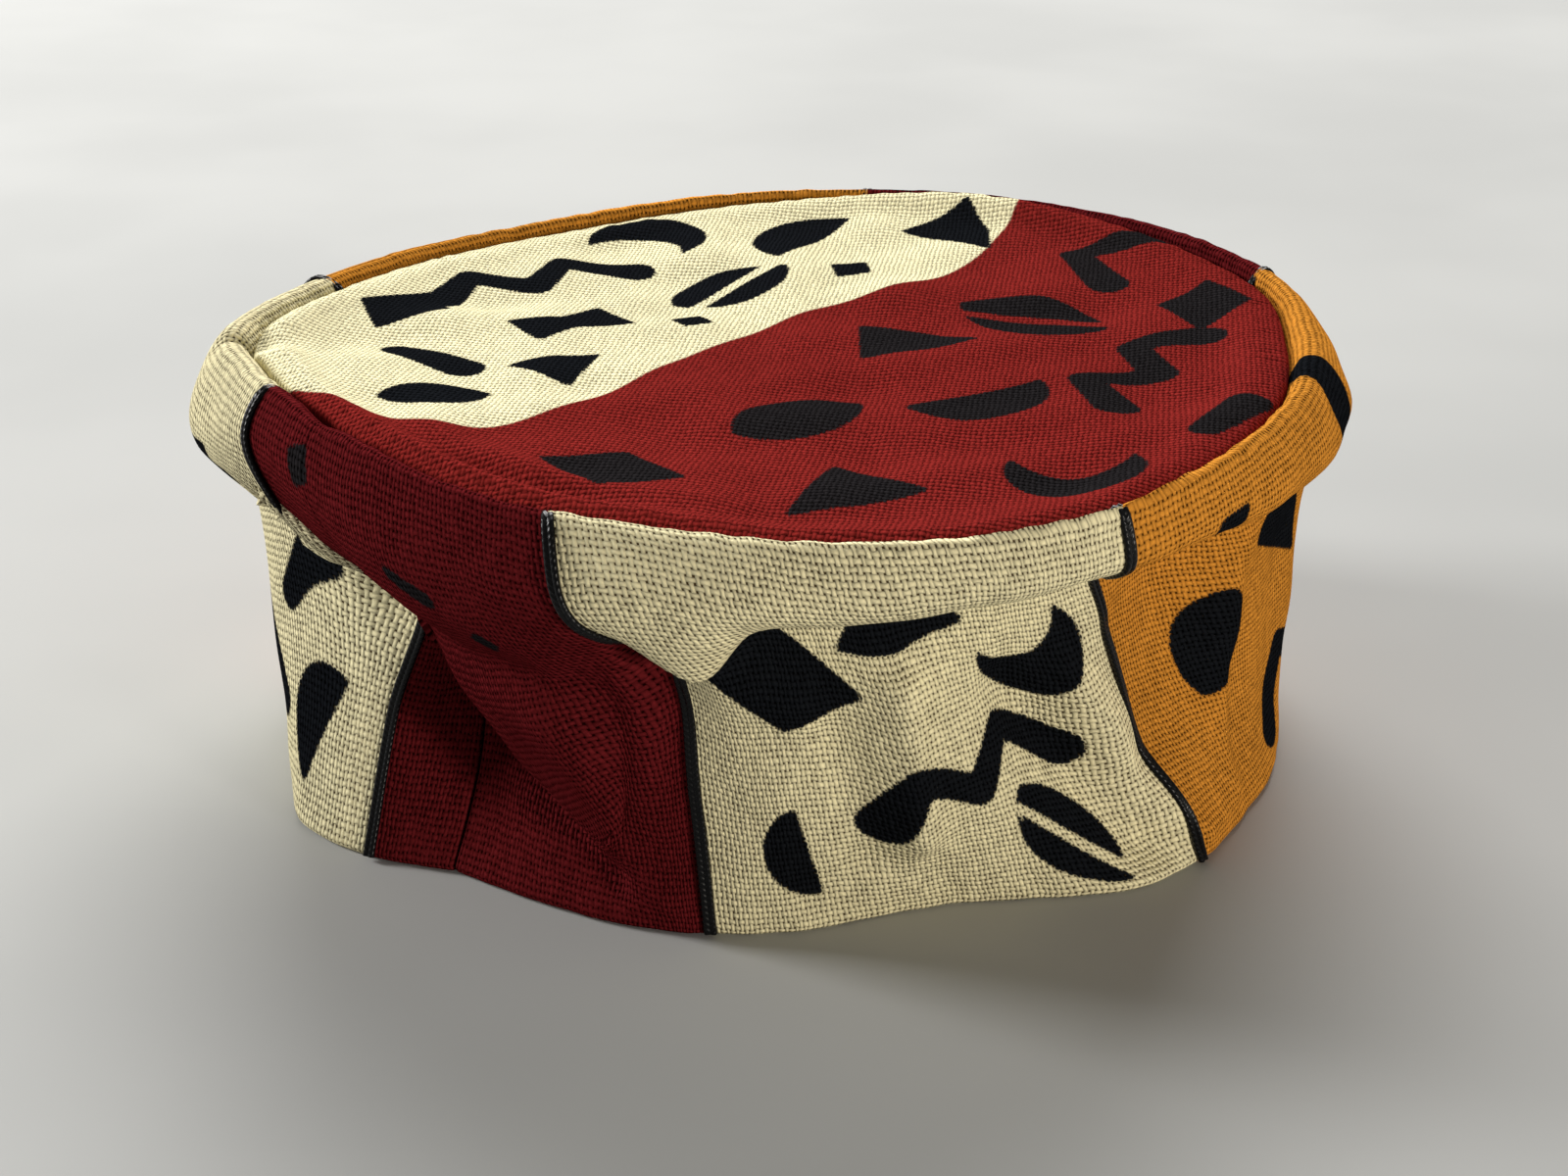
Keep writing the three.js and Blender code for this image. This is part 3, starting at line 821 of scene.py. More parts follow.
@dataclass(frozen=True)
class PlainWeave:
    """The plain weave that the cloths share, counted in threads."""

    wander: float = 0.9    # how far the threads drift from straight lines,
    wander_scale: float = 0.22    # and how soon
    number_step: float = 3.7    # keeps each thread's noise apart from the next one's
    slub_scale: float = 0.34    # how soon a thread's width and shade change along it
    slub_width: float = 0.30    # how much half its width changes
    crimp: float = 0.34    # how far it rises and sinks as it passes over and under
    pits: tuple[float, float] = (0.08, 0.40)    # the heights between which a hole ends
    shades: tuple[float, float] = (0.25, 0.75)    # the noise of the darkest and of the palest threads
    fibre_scale: float = 1.3

    def group(self) -> bpy.types.NodeTree:
        """Builds the shader node group.

        Returns:
            A group from a cloth's UV map in metres, the pitch of its threads across and down, and half a
            thread's least width in pitches, to Height (0 to 1 over the threads), Pit (1 in the holes between
            them), Thread (each thread's own shade) and Fibre (fuzz along the threads).
        """
        inputs = {"Cloth": "NodeSocketVector", "Pitch": "NodeSocketVector", "Width": "NodeSocketFloat"}
        outputs = dict.fromkeys(("Height", "Pit", "Thread", "Fibre"), "NodeSocketFloat")
        n, given, out = new_group("plain_weave", inputs, outputs)
        threads = n.vector("DIVIDE", {0: given["Cloth"], 1: given["Pitch"]})
        noise = {"Vector": threads, "Scale": self.wander_scale, "Detail": 3.0}
        drift = n.add("ShaderNodeTexNoise", noise).outputs["Color"]
        moved = n.vector("MULTIPLY_ADD", {0: drift, 1: (self.wander, self.wander, 0.0), 2: threads})
        split = n.add("ShaderNodeSeparateXYZ", {0: moved})
        x, y = split.outputs[0], split.outputs[1]
        row, column = n.math("ROUND", y), n.math("ROUND", x)
        warp, warp_shade = self.threads(n, given["Width"], (x, column, y), 1.0, 1.3)
        weft, weft_shade = self.threads(n, given["Width"], (y, row, x), -1.0, 8.9)
        height = n.math("MAXIMUM", warp, weft)
        on_top = n.math("GREATER_THAN", warp, weft)
        shade = n.math("ADD", n.math("MULTIPLY", warp_shade, on_top),
                       n.math("MULTIPLY", weft_shade, n.math("SUBTRACT", 1.0, on_top)))
        n.tree.links.new(height, out.inputs["Height"])
        n.tree.links.new(n.math("SUBTRACT", 1.0, n.ramp(height, *self.pits)), out.inputs["Pit"])
        n.tree.links.new(n.ramp(shade, *self.shades), out.inputs["Thread"])
        n.tree.links.new(n.noise(threads, self.fibre_scale, 4.0), out.inputs["Fibre"])
        return n.tree

    def threads(self, n: Nodes, width: Socket, place: tuple, over: float,
                seed: float) -> tuple[Socket, Socket]:
        """Adds one set of threads.

        Args:
            n: the group's nodes.
            width: half a thread's least width.
            place: the place across the threads, the nearest thread's number and the place along it.
            over: 1 where thread 0 passes over at place 0, -1 where it passes under.
            seed: sets this set's uneven widths and shades.

        Returns:
            The set's height, and each thread's own shade.
        """
        across, number, run = place
        step, slub = n.math("MULTIPLY", number, self.number_step), n.math("MULTIPLY", run, self.slub_scale)
        shade = n.noise(n.add("ShaderNodeCombineXYZ", {0: step, 1: slub, 2: seed}).outputs[0], 1.0, 1.0)
        half = n.math("MULTIPLY_ADD", shade, self.slub_width, width)
        off = n.math("DIVIDE", n.math("SUBTRACT", across, number), half)
        arch = n.math("SQRT", n.math("MAXIMUM", n.math("SUBTRACT", 1.0, n.math("MULTIPLY", off, off)), 0.0))
        wave = n.math("MULTIPLY", n.math("COSINE", n.math("MULTIPLY", run, math.pi)),
                      n.math("COSINE", n.math("MULTIPLY", number, math.pi)))
        height = n.math("MULTIPLY", arch, n.math("MULTIPLY_ADD", wave, self.crimp * over, 1 - self.crimp))
        return height, shade


@dataclass(frozen=True)
class ClothFinish:
    """Coarse plain-weave cotton, dyed in three grounds and printed in matt black."""

    name: str
    pitch: tuple[float, float, float] = (0.00093, 0.00125, 1.0)
    # the band's cream and red are darker than the crown's: painted shade on the band's rolls and walls
    cream: Colour = (0.79, 0.712, 0.445, 1.0)
    red: Colour = (0.105, 0.0088, 0.0105, 1.0)
    ochre: Colour = (0.60, 0.240, 0.032, 1.0)
    ink: Colour = (0.0075, 0.0085, 0.0105, 1.0)
    ink_on_red: Colour = (0.014, 0.0125, 0.0135, 1.0)
    hollow: tuple[float, float, float] = (0.07, 0.045, 0.03)   # painted shade: in the holes between the threads the ground's colour is scaled by this
    weave_depth: float = 0.00045
    width: float = 0.24         # half a thread's least width, in pitches
    fuzz_depth: float = 0.30    # how far the fuzz stands up, against a thread
    dye_edge: tuple[float, float] = (0.45, 0.28)    # how ragged and how soft a dye's edge is, in millimetres
    ink_edge: tuple[float, float] = (0.7, 0.22)
    bright: float = 0.99        # the cloth's mean shade
    uneven: float = 0.20        # how much the threads' own shades differ
    worn: float = 0.10          # how much darker the worn patches are
    worn_scale: float = 28.0
    painted_shade_heights: tuple[float, float] = (0.25, 0.95)       # painted light and shade: the heights over which a thread is painted paler towards its crest
    painted_top_light: float = 1.04    # the painted light on its crest, above 1 a painted highlight,
    relief: float = 0.40        # and how much darker its sides are painted, a painted shade
    # how far the holes between the threads are painted in shade, 0 to 1
    pit_shade: float = 0.97
    fuzz_light: tuple[float, float] = (0.3, 0.9)    # how much the fuzz shows, and how much more on red
    roughness: float = 0.95
    ink_gloss: float = 0.16

    def material(self, weave: bpy.types.NodeTree) -> Material:
        """Builds the material.

        Args:
            weave: the plain weave group.

        Returns:
            The material, which reads the UV map "cloth" and the attributes red, ochre and ink.
        """
        material, n = new_material(self.name)
        cloth = n.add("ShaderNodeUVMap", uv_map="cloth").outputs[0]
        group = n.add("ShaderNodeGroup", node_tree=weave)
        n.feed(group, {"Cloth": cloth, "Pitch": self.pitch, "Width": self.width})
        height, pit, thread, fibre = (group.outputs[k] for k in ("Height", "Pit", "Thread", "Fibre"))
        fuzz = n.math("SUBTRACT", fibre, 0.5)

        def area(name: str, ragged: float, soft: float) -> Socket:
            """Adds the mask of a printed area, whose edge follows the threads.

            Args:
                name: the attribute that holds the area.
                ragged: how far its edge steps from thread to thread.
                soft: half the width over which it fades.

            Returns:
                The mask.
            """
            inside = n.add("ShaderNodeAttribute", attribute_name=name).outputs["Fac"]
            stepped = n.math("MULTIPLY_ADD", n.math("SUBTRACT", height, 0.6), ragged, inside)
            return n.ramp(n.math("MULTIPLY_ADD", fuzz, ragged, stepped), -soft, soft)

        red, ochre = (area(name, *self.dye_edge) for name in ("red", "ochre"))
        ink = area("ink", *self.ink_edge)
        ground = n.blend(ochre, n.blend(red, self.cream, self.red), self.ochre)
        ground = n.blend(ink, ground, n.blend(red, self.ink, self.ink_on_red))
        worn = n.ramp(n.noise(cloth, self.worn_scale, 4.0), 0.35, 0.75)
        # painted light and shade over each thread: paler on its crest and darker at its sides, by its height
        knot = n.math("MULTIPLY_ADD", n.ramp(height, *self.painted_shade_heights), self.relief, self.painted_top_light - self.relief)
        shows = n.math("MULTIPLY_ADD", red, self.fuzz_light[1], self.fuzz_light[0])
        light = n.math("MULTIPLY_ADD", thread, self.uneven, self.bright - self.uneven / 2)
        light = n.math("MULTIPLY", n.math("MULTIPLY_ADD", worn, -self.worn, light), knot)
        light = n.math("MULTIPLY_ADD", fuzz, shows, light)
        lit = n.vector("SCALE", {0: ground, "Scale": light})
        # painted shade in the holes between the threads, blended in by the pit mask
        hole_shaded = n.vector("MULTIPLY", {0: ground, 1: self.hollow})
        shaded = n.blend(n.math("MULTIPLY", pit, self.pit_shade), lit, hole_shaded)
        relief = n.math("MULTIPLY_ADD", fibre, self.fuzz_depth, height)
        roughness = n.math("MULTIPLY_ADD", ink, -self.ink_gloss, self.roughness)
        n.surface(shaded, roughness, 0.0, Normal=n.bump(relief, self.weave_depth))
        return material


@dataclass(frozen=True)
class BraidFinish:
    """Black rayon soutache with a satin gloss, and a painted glint on the crests of its turns."""

    name: str = "soutache"
    colour: Colour = (0.0018, 0.0019, 0.0023, 1.0)
    # a painted highlight on the crests of the plait's turns
    painted_glint: Colour = (0.004, 0.0043, 0.005, 1.0)
    stitch: float = 0.0011      # from one turn of the plait to the next
    slant: float = 0.9          # how far a turn runs down the cord for each step across it
    depth: float = 0.00006
    roughness: float = 0.40
    gloss: float = 0.14         # how much smoother the tops of the turns are
    specular: float = 0.16

    def material(self) -> Material:
        """Builds the material.

        Returns:
            The material, which reads the UV map "cloth": x across the braid and y along it, in metres.
        """
        material, n = new_material(self.name)
        split = n.add("ShaderNodeSeparateXYZ", {0: n.add("ShaderNodeUVMap", uv_map="cloth").outputs[0]})
        across, along = split.outputs[0], split.outputs[1]
        slant = n.math("MULTIPLY", n.math("ABSOLUTE", across), self.slant)
        turns = n.math("DIVIDE", n.math("ADD", along, slant), self.stitch)
        plait = n.math("SINE", n.math("MULTIPLY", turns, math.tau))
        height = n.math("MULTIPLY_ADD", plait, 0.5, 0.5)
        # painted glint: the crests of the turns are painted paler
        tone_with_painted_glint = n.blend(n.math("MULTIPLY", height, 0.5), self.colour, self.painted_glint)
        roughness = n.math("MULTIPLY_ADD", height, -self.gloss, self.roughness)
        n.surface(tone_with_painted_glint, roughness, self.specular, Normal=n.bump(height, self.depth))
        return material


@dataclass(frozen=True)
class FloorFinish:
    """A plain pale grey floor, very slightly mottled."""

    name: str = "floor"
    colour: Colour = (0.395, 0.400, 0.395, 1.0)
    paler: Colour = (0.435, 0.440, 0.434, 1.0)

    def material(self) -> Material:
        """Builds the material.

        Returns:
            The material, which reads Object coordinates.
        """
        material, n = new_material(self.name)
        place = n.add("ShaderNodeTexCoord").outputs["Object"]
        n.surface(n.blend(n.ramp(n.noise(place, 6.0, 3.0), 0.3, 0.7), self.colour, self.paler), 0.95, 0.15)
        return material


def new_grid(name: str, columns: int, rows: int) -> tuple[Piece, Array, Array]:
    """Adds a grid to be laid out as a sheet.

    Args:
        name: the piece's name.
        columns: how many points it has across.
        rows: how many it has down.

    Returns:
        The object, and each vertex's column and row number; row 0 is the upper one.
    """
    bpy.ops.object.select_all(action="DESELECT")
    bpy.ops.mesh.primitive_grid_add(x_subdivisions=columns - 1, y_subdivisions=rows - 1, size=2.0)
    piece = bpy.context.object
    piece.name = piece.data.name = name
    co = np.empty(len(piece.data.vertices) * 3)
    piece.data.vertices.foreach_get("co", co)
    co = co.reshape(-1, 3)
    column = np.rint((co[:, 0] + 1) / 2 * (columns - 1)).astype(int)
    row = np.rint((1 - co[:, 1]) / 2 * (rows - 1)).astype(int)
    return piece, column, row


def lay_out(piece: Piece, points: Array, cloth: Array, values: dict[str, Array]) -> None:
    """Moves a piece's vertices to their places and writes what its material reads.

    Args:
        piece: the object.
        points: the vertices' places in metres.
        cloth: each vertex's place on the flat cloth in metres, (n, 2), for the UV map.
        values: the attributes, one value for each vertex.
    """
    mesh = piece.data
    mesh.vertices.foreach_set("co", points.ravel())
    corner = np.empty(len(mesh.loops), int)
    mesh.loops.foreach_get("vertex_index", corner)
    while mesh.uv_layers:
        mesh.uv_layers.remove(mesh.uv_layers[0])
    mesh.uv_layers.new(name="cloth").data.foreach_set("uv", cloth[corner].ravel())
    for name, value in values.items():
        mask = mesh.attributes.new(name, "FLOAT", "POINT")
        mask.data.foreach_set("value", value.clip(-MASK_REACH, MASK_REACH))
    mesh.update()


def select_only(piece: Piece) -> None:
    """Selects one piece alone and makes it active.

    Args:
        piece: the object.
    """
    bpy.ops.object.select_all(action="DESELECT")
    bpy.context.view_layer.objects.active = piece
    piece.select_set(True)


def thicken(piece: Piece) -> None:
    """Gives a sheet of cloth its thickness, inwards.

    Args:
        piece: the sheet.
    """
    select_only(piece)
    modifier = piece.modifiers.new("thickness", "SOLIDIFY")
    modifier.thickness = CLOTH * MM
    modifier.offset = -1.0
    modifier.use_even_offset = False
    modifier.use_rim = True
    bpy.ops.object.modifier_apply(modifier=modifier.name)


def shade(piece: Piece, material: Material, angle: float = 75.0) -> None:
    """Gives the piece its material and smooth shading.

    Args:
        piece: the object.
        material: its finish.
        angle: edges sharper than this, in degrees, stay sharp.
    """
    piece.data.materials.clear()
    piece.data.materials.append(material)
    select_only(piece)
    bpy.ops.object.shade_smooth_by_angle(angle=math.radians(angle))


class RowFrame:
    """Moves points from the cap's own frame, in millimetres, to the row frame, in metres."""

    def __init__(self, form: CapForm) -> None:
        """Finds the move by laying the band's box over the box of its solid.

        Args:
            form: the cap's shape.
        """
        az = np.linspace(-180, 180, 2 * 360 + 1)
        face = form.face(az, np.array([1.0]), np.linspace(0, 1, 160)).reshape(-1, 3)
        low, high = (np.array(corner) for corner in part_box("side_band"))
        move = (low + high) / 2 - (face.min(axis=0) + face.max(axis=0)) / 2 * MM
        self.move = np.array([move[0], move[1], 0.0])

    def place(self, points: Array) -> Array:
        """The points in the row frame."""
        return points * MM + self.move


@dataclass
class SideBand:
    """The band: one strip of cloth round the cap, sewn to the crown above, turned up inside at the hem."""

    form: CapForm
    print: ClothPrint
    columns: int = 470
    rows: int = 84
    end_columns: tuple[float, ...] = (0.03, 0.10, 0.35, 0.9)    # closer ones beside the band's end seam,
    next_column: float = 1.8                                    # and the first of the even ones after them
    crowding: float = 0.035     # how much closer the rows lie towards the seam and the hem
    turned_rows: int = 4
    bend_rows: int = 6
    hem_rows: int = 7
    hem_round: float = 1.45     # the radius of the hem's fold
    hem_start: float = 1.2      # where the turned-up part starts above the fold
    ripple: float = 0.30
    seam_pucker: float = 0.15
    hem_pucker: float = 0.20
    seam_puff: float = 1.0
    pinch_az: float = 182.0
    pinch: float = 2.6          # how deep the pinch at the left is, and half how wide
    end_groove: tuple[float, float] = (1.5, 0.28)    # the end seam's depth and width,
    end_dip: tuple[float, float] = (0.35, 3.2)       # and those of the dip around it

    @property
    def foot(self) -> float:
        """The share of the way down where the hem's fold starts."""
        return 1 - self.hem_round / BAND_DEPTH

    def face(self) -> tuple[Array, Array, Array]:
        """The band's right side as one sheet.

        Returns:
            Its points (rows, columns, 3), the columns' places along the cloth in millimetres, and the rows'
            shares of the way down.
        """
        ends = np.array(self.end_columns)
        even = np.linspace(self.next_column, BAND_LENGTH - self.next_column, self.columns - 2 * len(ends))
        along = np.concatenate([ends, even, (BAND_LENGTH - ends)[::-1]])
        t = np.linspace(0, 1, self.rows)
        down = (t - self.crowding * np.sin(math.tau * t)) * self.foot
        turned = np.linspace(0, 1, self.turned_rows, endpoint=False)
        points = self.form.face(self.form.azimuth(along), turned, down)
        shares = np.concatenate([(turned - 1) * (SEAM_TURN - SEAM_ROUND) / BAND_DEPTH, down])
        return self.turn_hem(self.rumple(points, along, shares), shares, along)

    def normals(self, points: Array) -> Array:
        """Finds the normals of a sheet.

        Args:
            points: the sheet, (rows, columns, 3).

        Returns:
            Outward unit normals, in the same shape.
        """
        across = np.gradient(points, axis=1)
        clear = len(self.end_columns) + 1
        across[:, 0] = across[:, clear]
        across[:, -1] = across[:, -clear - 1]
        return unit(np.cross(np.gradient(points, axis=0), across))

    def rumple(self, points: Array, along: Array, shares: Array) -> Array:
        """Adds the cloth's small unevenness.

        Args:
            points: the sheet, (rows, columns, 3).
            along: its columns' places along the cloth.
            shares: its rows' shares of the way down.

        Returns:
            The moved points.
        """
        x, y = np.meshgrid(along, shares * BAND_DEPTH)
        near_end = np.minimum(x, BAND_LENGTH - x)
        # soft ripples, puckers beside the crown seam and over the hem, and the puff under the crown seam
        off = Ripples(3, 11, 46).at(x, y * 0.8) * self.ripple
        off *= smooth(y, 3, 14) * smooth(BAND_DEPTH - y, 0, 9)
        off += Ripples(5, 3.6, 9.0).at(x, y * 0.22) * self.seam_pucker * bell(y, 3.2, 3.4)
        off += Ripples(9, 7.0, 16.0).at(x, y * 0.3) * self.hem_pucker * smooth(y, 84, 97)
        off += self.seam_puff * bell(y, 3.6, 2.0)
        from_pinch = from_place(x, self.form.along(self.pinch_az))
        off -= self.pinch * bell(from_pinch, 0, self.pinch) * bell(y, 3.0, 6.0)
        off *= smooth(near_end, 1.0, 10.0)
        # the end seam, which fades out towards the roll
        groove = self.end_groove[0] * np.exp(-near_end / self.end_groove[1])
        groove += self.end_dip[0] * bell(near_end, 0, self.end_dip[1])
        off -= groove * (0.1 + 0.9 * smooth(y, 40, 58))
        return points + self.normals(points) * off[..., None]

    def turn_hem(self, points: Array, shares: Array, along: Array) -> tuple[Array, Array, Array]:
        """Adds the hem's fold and the part turned up inside.

        Args:
            points: the sheet down to the fold, (rows, columns, 3).
            shares: its rows' shares of the way down.
            along: its columns' places along the cloth.

        Returns:
            The whole sheet, its columns' places along the cloth and its rows' shares of the way down.
        """
        foot = points[-1]
        run = np.gradient(foot, axis=0)
        run[:5], run[-5:] = run[5], run[-6]
        out = unit(np.cross(run, np.array([0.0, 0.0, 1.0])))
        bend = []
        for a in np.radians(np.linspace(180 / self.bend_rows, 180, self.bend_rows)):
            p = foot - out * self.hem_round * (1 - math.cos(a))
            p[:, 2] = self.hem_round * (1 - math.sin(a))
            bend.append(p)
        points = points.copy()
        lift = smooth(shares, 0.93, self.foot)
        points[..., 2] += (self.hem_round - foot[:, 2]) * lift[:, None]
        up = np.linspace(self.hem_start, HEM_DEPTH, self.hem_rows) / BAND_DEPTH
        turned_up = []
        for at in np.interp(self.foot - up, shares, np.arange(len(shares))):
            i = int(at)
            wall = points[i] * (1 - (at - i)) + points[i + 1] * (at - i)
            turned_up.append(wall - out * 2 * self.hem_round)
        round_fold = math.pi * self.hem_round / BAND_DEPTH
        tail = self.foot + np.concatenate([
            round_fold * np.arange(1, self.bend_rows + 1) / self.bend_rows, round_fold + up])
        return np.concatenate([points, bend, turned_up]), along, np.concatenate([shares, tail])

    def build(self, row: RowFrame, material: Material) -> Piece:
        """Makes the band's cloth.

        Args:
            row: the move to the row frame.
            material: the cloth's finish.

        Returns:
            The piece.
        """
        points, along, shares = self.face()
        piece, column, line = new_grid("band_strip", len(along), len(shares))
        u, v = along[column], shares[line]
        cloth = np.stack([u * MM, -v * BAND_DEPTH * MM], axis=-1)
        lay_out(piece, row.place(points[line, column]), cloth, self.print.on_band(u, v))
        thicken(piece)
        shade(piece, material)
        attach(piece, "root")
        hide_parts("side_band")
        return piece


@dataclass
class CrownTop:
    """The crown: a sagging round piece whose edge turns down inside, beside the band's seam allowance."""

    form: CapForm
    print: ClothPrint
    side: int = 188
    weave_turn: float = -9.0    # the threads' turn, in degrees
    pucker: float = 0.16
    dent: float = 0.8
    turned: float = 5.4         # how far the cloth goes past the seam, over its edge and down
    denser: float = 0.12        # how much closer the points lie towards the edge

    def face(self, a: Array, b: Array) -> Array:
        """The crown's right side.

        Args:
            a: places across a square, -1 to 1, whose rim becomes the crown's turned-down edge.
            b: places up it.

        Returns:
            The points, (n, 3).
        """
        out = np.maximum(np.abs(a), np.abs(b))
        first = np.abs(a) >= np.abs(b)
        with np.errstate(divide="ignore", invalid="ignore"):
            turn = np.where(first, np.where(a >= 0, 0, 180) + 45 * b / np.where(first, a, 1), 0.0)
            turn = np.where(first, turn, np.where(b >= 0, 90, 270) - 45 * a / np.where(first, 1, b))
        rings = self.form.rings_at((turn + 180) % 360 - 180)
        seam = rings[0]
        az = np.degrees(np.arctan2(seam[:, 1], seam[:, 0]))
        r = np.hypot(seam[:, 0], seam[:, 1]) - GAP
        seam_z = seam[:, 2] + SEAM_TURN
        # the path out over the crown's top and down round its edge, by length
        path = out * (r + self.turned)
        flat = r - SEAM_ROUND
        bend = SEAM_ROUND * math.pi / 2
        s = np.minimum(path, flat) / r
        angle = np.clip((path - flat) / bend, 0, 1) * math.pi / 2
        radius = np.minimum(path, flat) + SEAM_ROUND * np.sin(angle)
        drop = SEAM_ROUND * (1 - np.cos(angle)) + np.maximum(path - flat - bend, 0)
        rise = CROWN_SAG * (s * s - 1) + CROWN_WELT * bell(s, WELT_AT, WELT_WIDTH)
        for puff in EDGE_PUFFS:
            rise += puff.at(az, s)
        x, y = radius * np.cos(np.radians(az)), radius * np.sin(np.radians(az))
        puckered = np.radians(az) * r, (r - radius) * 0.25
        rise += Ripples(17, 3.4, 8.5).at(*puckered) * self.pucker * bell(r - radius, 3.2, 3.0)
        rise += Ripples(21, 16, 60).at(x, y) * self.dent * smooth(r - radius, 2, 18)
        return np.stack([x, y, SEAM_H + (seam_z - SEAM_H) * s + rise - drop], axis=-1)

    def build(self, row: RowFrame, material: Material) -> Piece:
        """Makes the crown's cloth.

        Args:
            row: the move to the row frame.
            material: the cloth's finish.

        Returns:
            The piece.
        """
        piece, column, line = new_grid("crown_piece", self.side, self.side)
        a, b = column / (self.side - 1) * 2 - 1, 1 - line / (self.side - 1) * 2
        a, b = ((1 + self.denser) * k - self.denser * k * np.abs(k) for k in (a, b))
        points = self.face(a, b)
        c, s = math.cos(math.radians(self.weave_turn)), math.sin(math.radians(self.weave_turn))
        x, y = points[:, 0], points[:, 1]
        cloth = np.stack([c * x + s * y, c * y - s * x], axis=-1) * MM
        lay_out(piece, row.place(points), cloth, self.print.on_crown(x, y))
        thicken(piece)
        shade(piece, material)
        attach(piece, "root")
        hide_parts("crown_top")
        return piece


@dataclass
class Braid:
    """A soutache braid: two fine cords side by side, sewn down the band from the crown seam to the hem."""

    form: CapForm
    name: str
    az: float
    cord: float = 0.56      # the radius of each of its two cords
    spread: float = 0.55    # from the braid's middle to a cord's
    sunk: float = 0.22      # how far it is pressed into the cloth
    groove: float = 0.62    # how high the groove between the cords lies, in their radii
    under: tuple[float, float] = (0.6, 0.02)    # half the width of its flat back, and that back's height
    rows: int = 170
    start: float = -0.015   # its even steps down start here, and those above the seam are left out
    end: float = 0.992      # it stops just above the hem's fold
    reach: float = 0.8      # degrees to either side, where the band's slope is measured
    lowest: float = 0.05    # how far it keeps off the floor

    def outline(self) -> Array:
        """The cross-section, round from one foot to the other and back.

        Returns:
            Its (across, out) points in millimetres.
        """
        left = [(math.cos(a), math.sin(a)) for a in np.radians([205, 175, 145, 115, 85, 55])]
        right = [(-x, y) for x, y in reversed(left)]
        points = [(-self.spread + self.cord * x, self.cord * (1 + y)) for x, y in left]
        points += [(0.0, self.cord * (1 + self.groove))]
        points += [(self.spread + self.cord * x, self.cord * (1 + y)) for x, y in right]
        half, low = self.under
        points += [(half, low), (0.0, low), (-half, low)]
        return np.array(points)

    def build(self, row: RowFrame, material: Material) -> Piece:
        """Makes the braid.

        Args:
            row: the move to the row frame.
            material: the braid's finish.

        Returns:
            The piece.
        """
        down = np.linspace(self.start, self.end, self.rows)
        az = self.az + np.array([-self.reach, 0.0, self.reach])
        face = self.form.face(az, np.linspace(0.6, 1.0, 4, endpoint=False), down[down >= 0])
        line = face[:, 1]
        across = unit(face[:, 2] - face[:, 0])
        out = unit(np.cross(np.gradient(line, axis=0), across))
        outline = self.outline()
        count = len(outline)
        piece, column, at = new_grid(f"{self.name}_soutache", count + 1, len(line))
        x, y = outline[column % count, 0], outline[column % count, 1] - self.sunk
        points = line[at] + across[at] * x[:, None] + out[at] * y[:, None]
        points[:, 2] = np.maximum(points[:, 2], self.lowest)
        cloth = np.stack([x, run_length(line)[at]], axis=-1) * MM
        lay_out(piece, row.place(points), cloth, {})
        bpy.ops.object.mode_set(mode="EDIT")
        bpy.ops.mesh.select_all(action="SELECT")
        bpy.ops.mesh.remove_doubles(threshold=1e-6)
        bpy.ops.mesh.fill_holes(sides=0)
        bpy.ops.mesh.normals_make_consistent(inside=False)
        bpy.ops.object.mode_set(mode="OBJECT")
        shade(piece, material, 50.0)
        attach(piece, "root")
        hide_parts(self.name)
        return piece


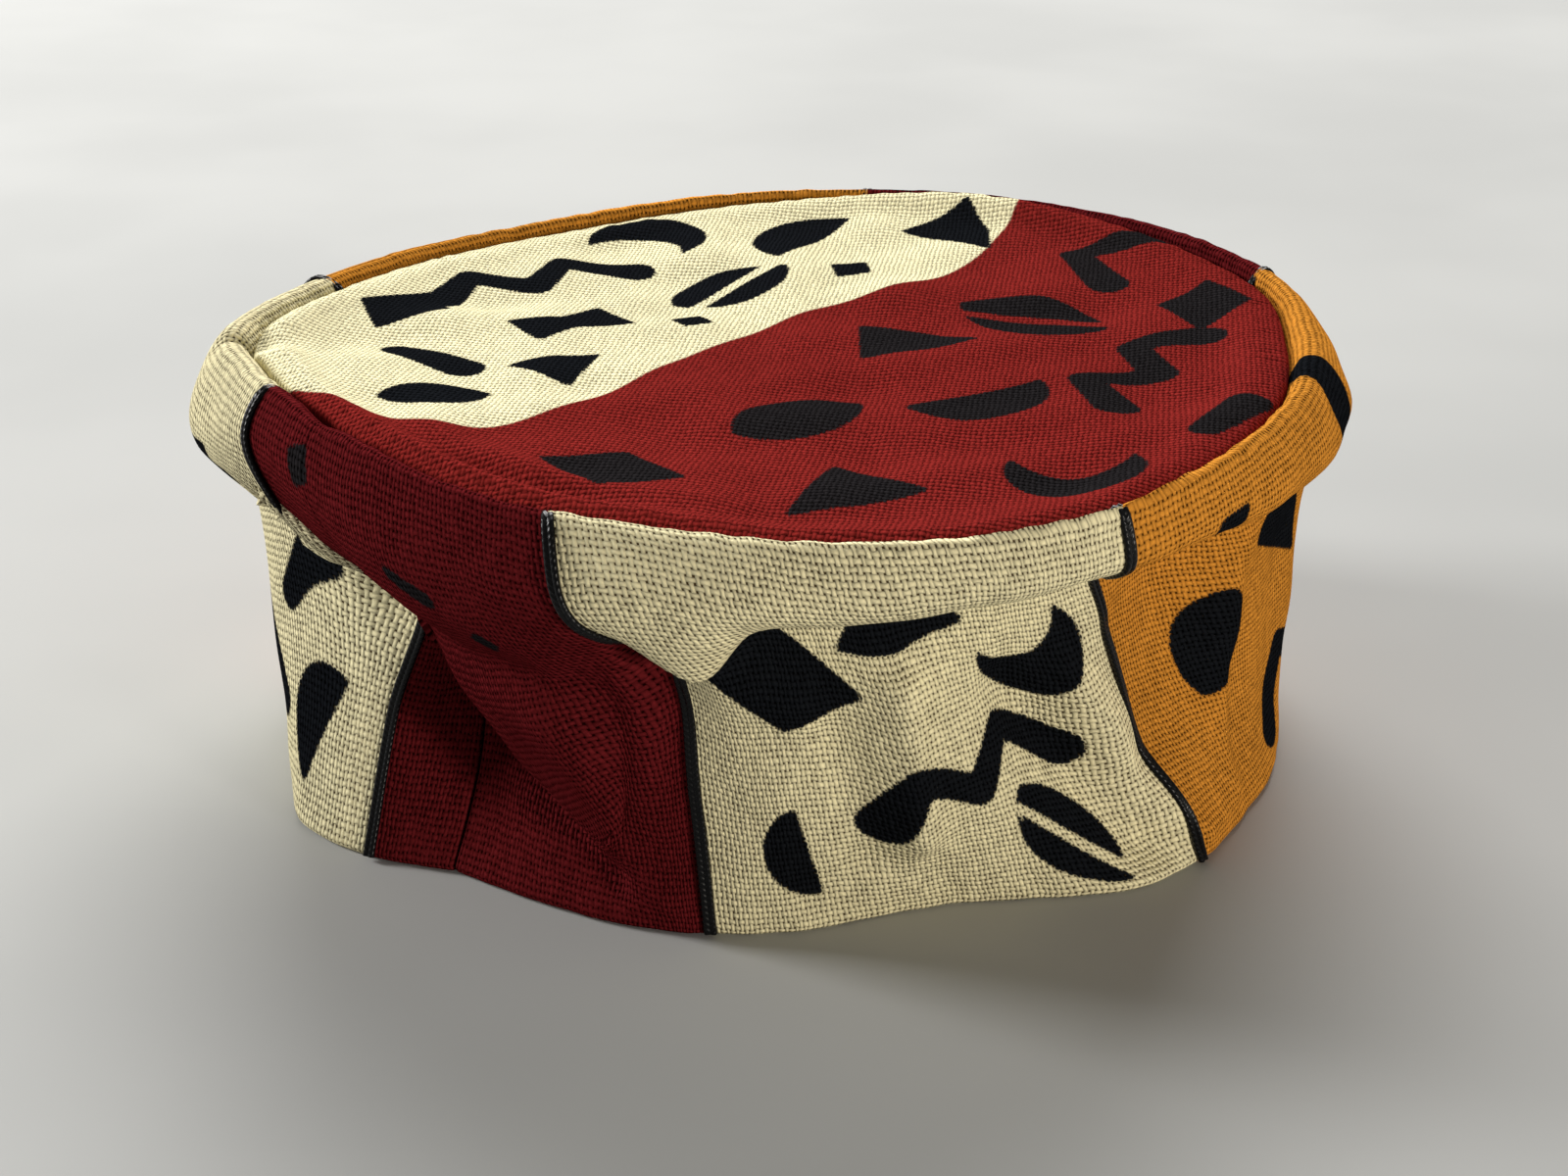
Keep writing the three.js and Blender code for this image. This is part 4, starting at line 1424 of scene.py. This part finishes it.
@dataclass
class Studio:
    """The floor, the soft light and the camera at the photograph's angle."""

    row: RowFrame
    focal_px: float = 2400.0
    picture_px: float = 1600.0
    pitch: float = 25.0
    eye: tuple[float, float, float] = (-1.4, -410.0, 217.4)
    sensor: float = 36.0
    world: Colour = (1.0, 0.965, 0.90, 1.0)
    world_strength: float = 0.19

    def build(self) -> None:
        """Makes the floor, the lights, the world and the camera."""
        bpy.ops.object.select_all(action="DESELECT")
        bpy.ops.mesh.primitive_grid_add(x_subdivisions=2, y_subdivisions=2, size=8.0, location=(0, 1.5, 0))
        floor = bpy.context.object
        floor.name = "floor"
        floor.data.materials.append(FloorFinish().material())
        self.light("key", (0.2, 3.15, 2.45), (0.0, 0.0, 0.05), 3.0, 268.0, (1.0, 0.99, 0.97))
        self.light("front_right", (1.18, -1.24, 0.16), (0.0, 0.0, 0.04), 0.26, 19.0, (1.0, 0.93, 0.83))
        self.light("left", (-1.52, 0.40, 0.66), (0.0, 0.0, 0.05), 0.4, 29.0, (1.0, 0.99, 0.97))
        world = bpy.data.worlds.new("studio")
        bpy.context.scene.world = world
        world.use_nodes = True
        background = world.node_tree.nodes["Background"]
        background.inputs[0].default_value = self.world
        background.inputs[1].default_value = self.world_strength
        bpy.context.scene.view_settings.view_transform = "Standard"
        self.camera()

    @staticmethod
    def light(name: str, place: Sequence[float], target: Sequence[float], size: float, power: float,
              colour: Sequence[float]) -> None:
        """Adds a square soft light.

        Args:
            name: its name.
            place: where it is, in metres.
            target: the point that it shines at.
            size: its side, in metres.
            power: in watts.
            colour: its tint.
        """
        bpy.ops.object.light_add(type="AREA", location=place)
        lamp = bpy.context.object
        lamp.name = name
        lamp.data.size = size
        lamp.data.energy = power
        lamp.data.color = colour
        way = np.array(target) - np.array(place)
        flat = math.hypot(way[0], way[1])
        lamp.rotation_euler = (math.atan2(flat, -way[2]), 0.0, math.atan2(-way[0], way[1]))

    def camera(self) -> None:
        """Adds the camera, which looks along +Y and down by pitch degrees."""
        bpy.ops.object.camera_add(location=self.row.place(np.array(self.eye)))
        camera = bpy.context.object
        camera.rotation_euler = (math.radians(90 - self.pitch), 0.0, 0.0)
        camera.data.sensor_width = self.sensor
        camera.data.lens = self.focal_px / self.picture_px * self.sensor
        bpy.context.scene.camera = camera


def main() -> None:
    """Builds the cap and its studio, and reports each piece."""
    logging.basicConfig(level=logging.INFO, format="%(message)s")
    form = CapForm()
    row = RowFrame(form)
    printed = ClothPrint(form)
    weave = PlainWeave().group()
    shaded_band_cloth = ClothFinish("band_cotton").material(weave)
    # the crown's cloth is given paler cream and red than the band's, a lit copy of the same cloth, and the
    # band's darker colours are painted shade on its rolls and walls. The crown's weave is also closer.
    lit_crown_cloth = ClothFinish(
        "crown_cotton", width=0.27, relief=0.30, pit_shade=0.55, uneven=0.10,
        cream=(0.85, 0.785, 0.50, 1.0), red=(0.200, 0.0170, 0.0145, 1.0)).material(weave)
    soutache = BraidFinish().material()
    pieces = [SideBand(form, printed).build(row, shaded_band_cloth)]
    pieces.append(CrownTop(form, printed).build(row, lit_crown_cloth))
    pieces += [Braid(form, name, az).build(row, soutache) for name, (az, _) in BRAIDS.items()]
    Studio(row).build()
    for piece in pieces:
        log.info("%s: %d faces", piece.name, len(piece.data.polygons))


if __name__ == "__main__":
    main()
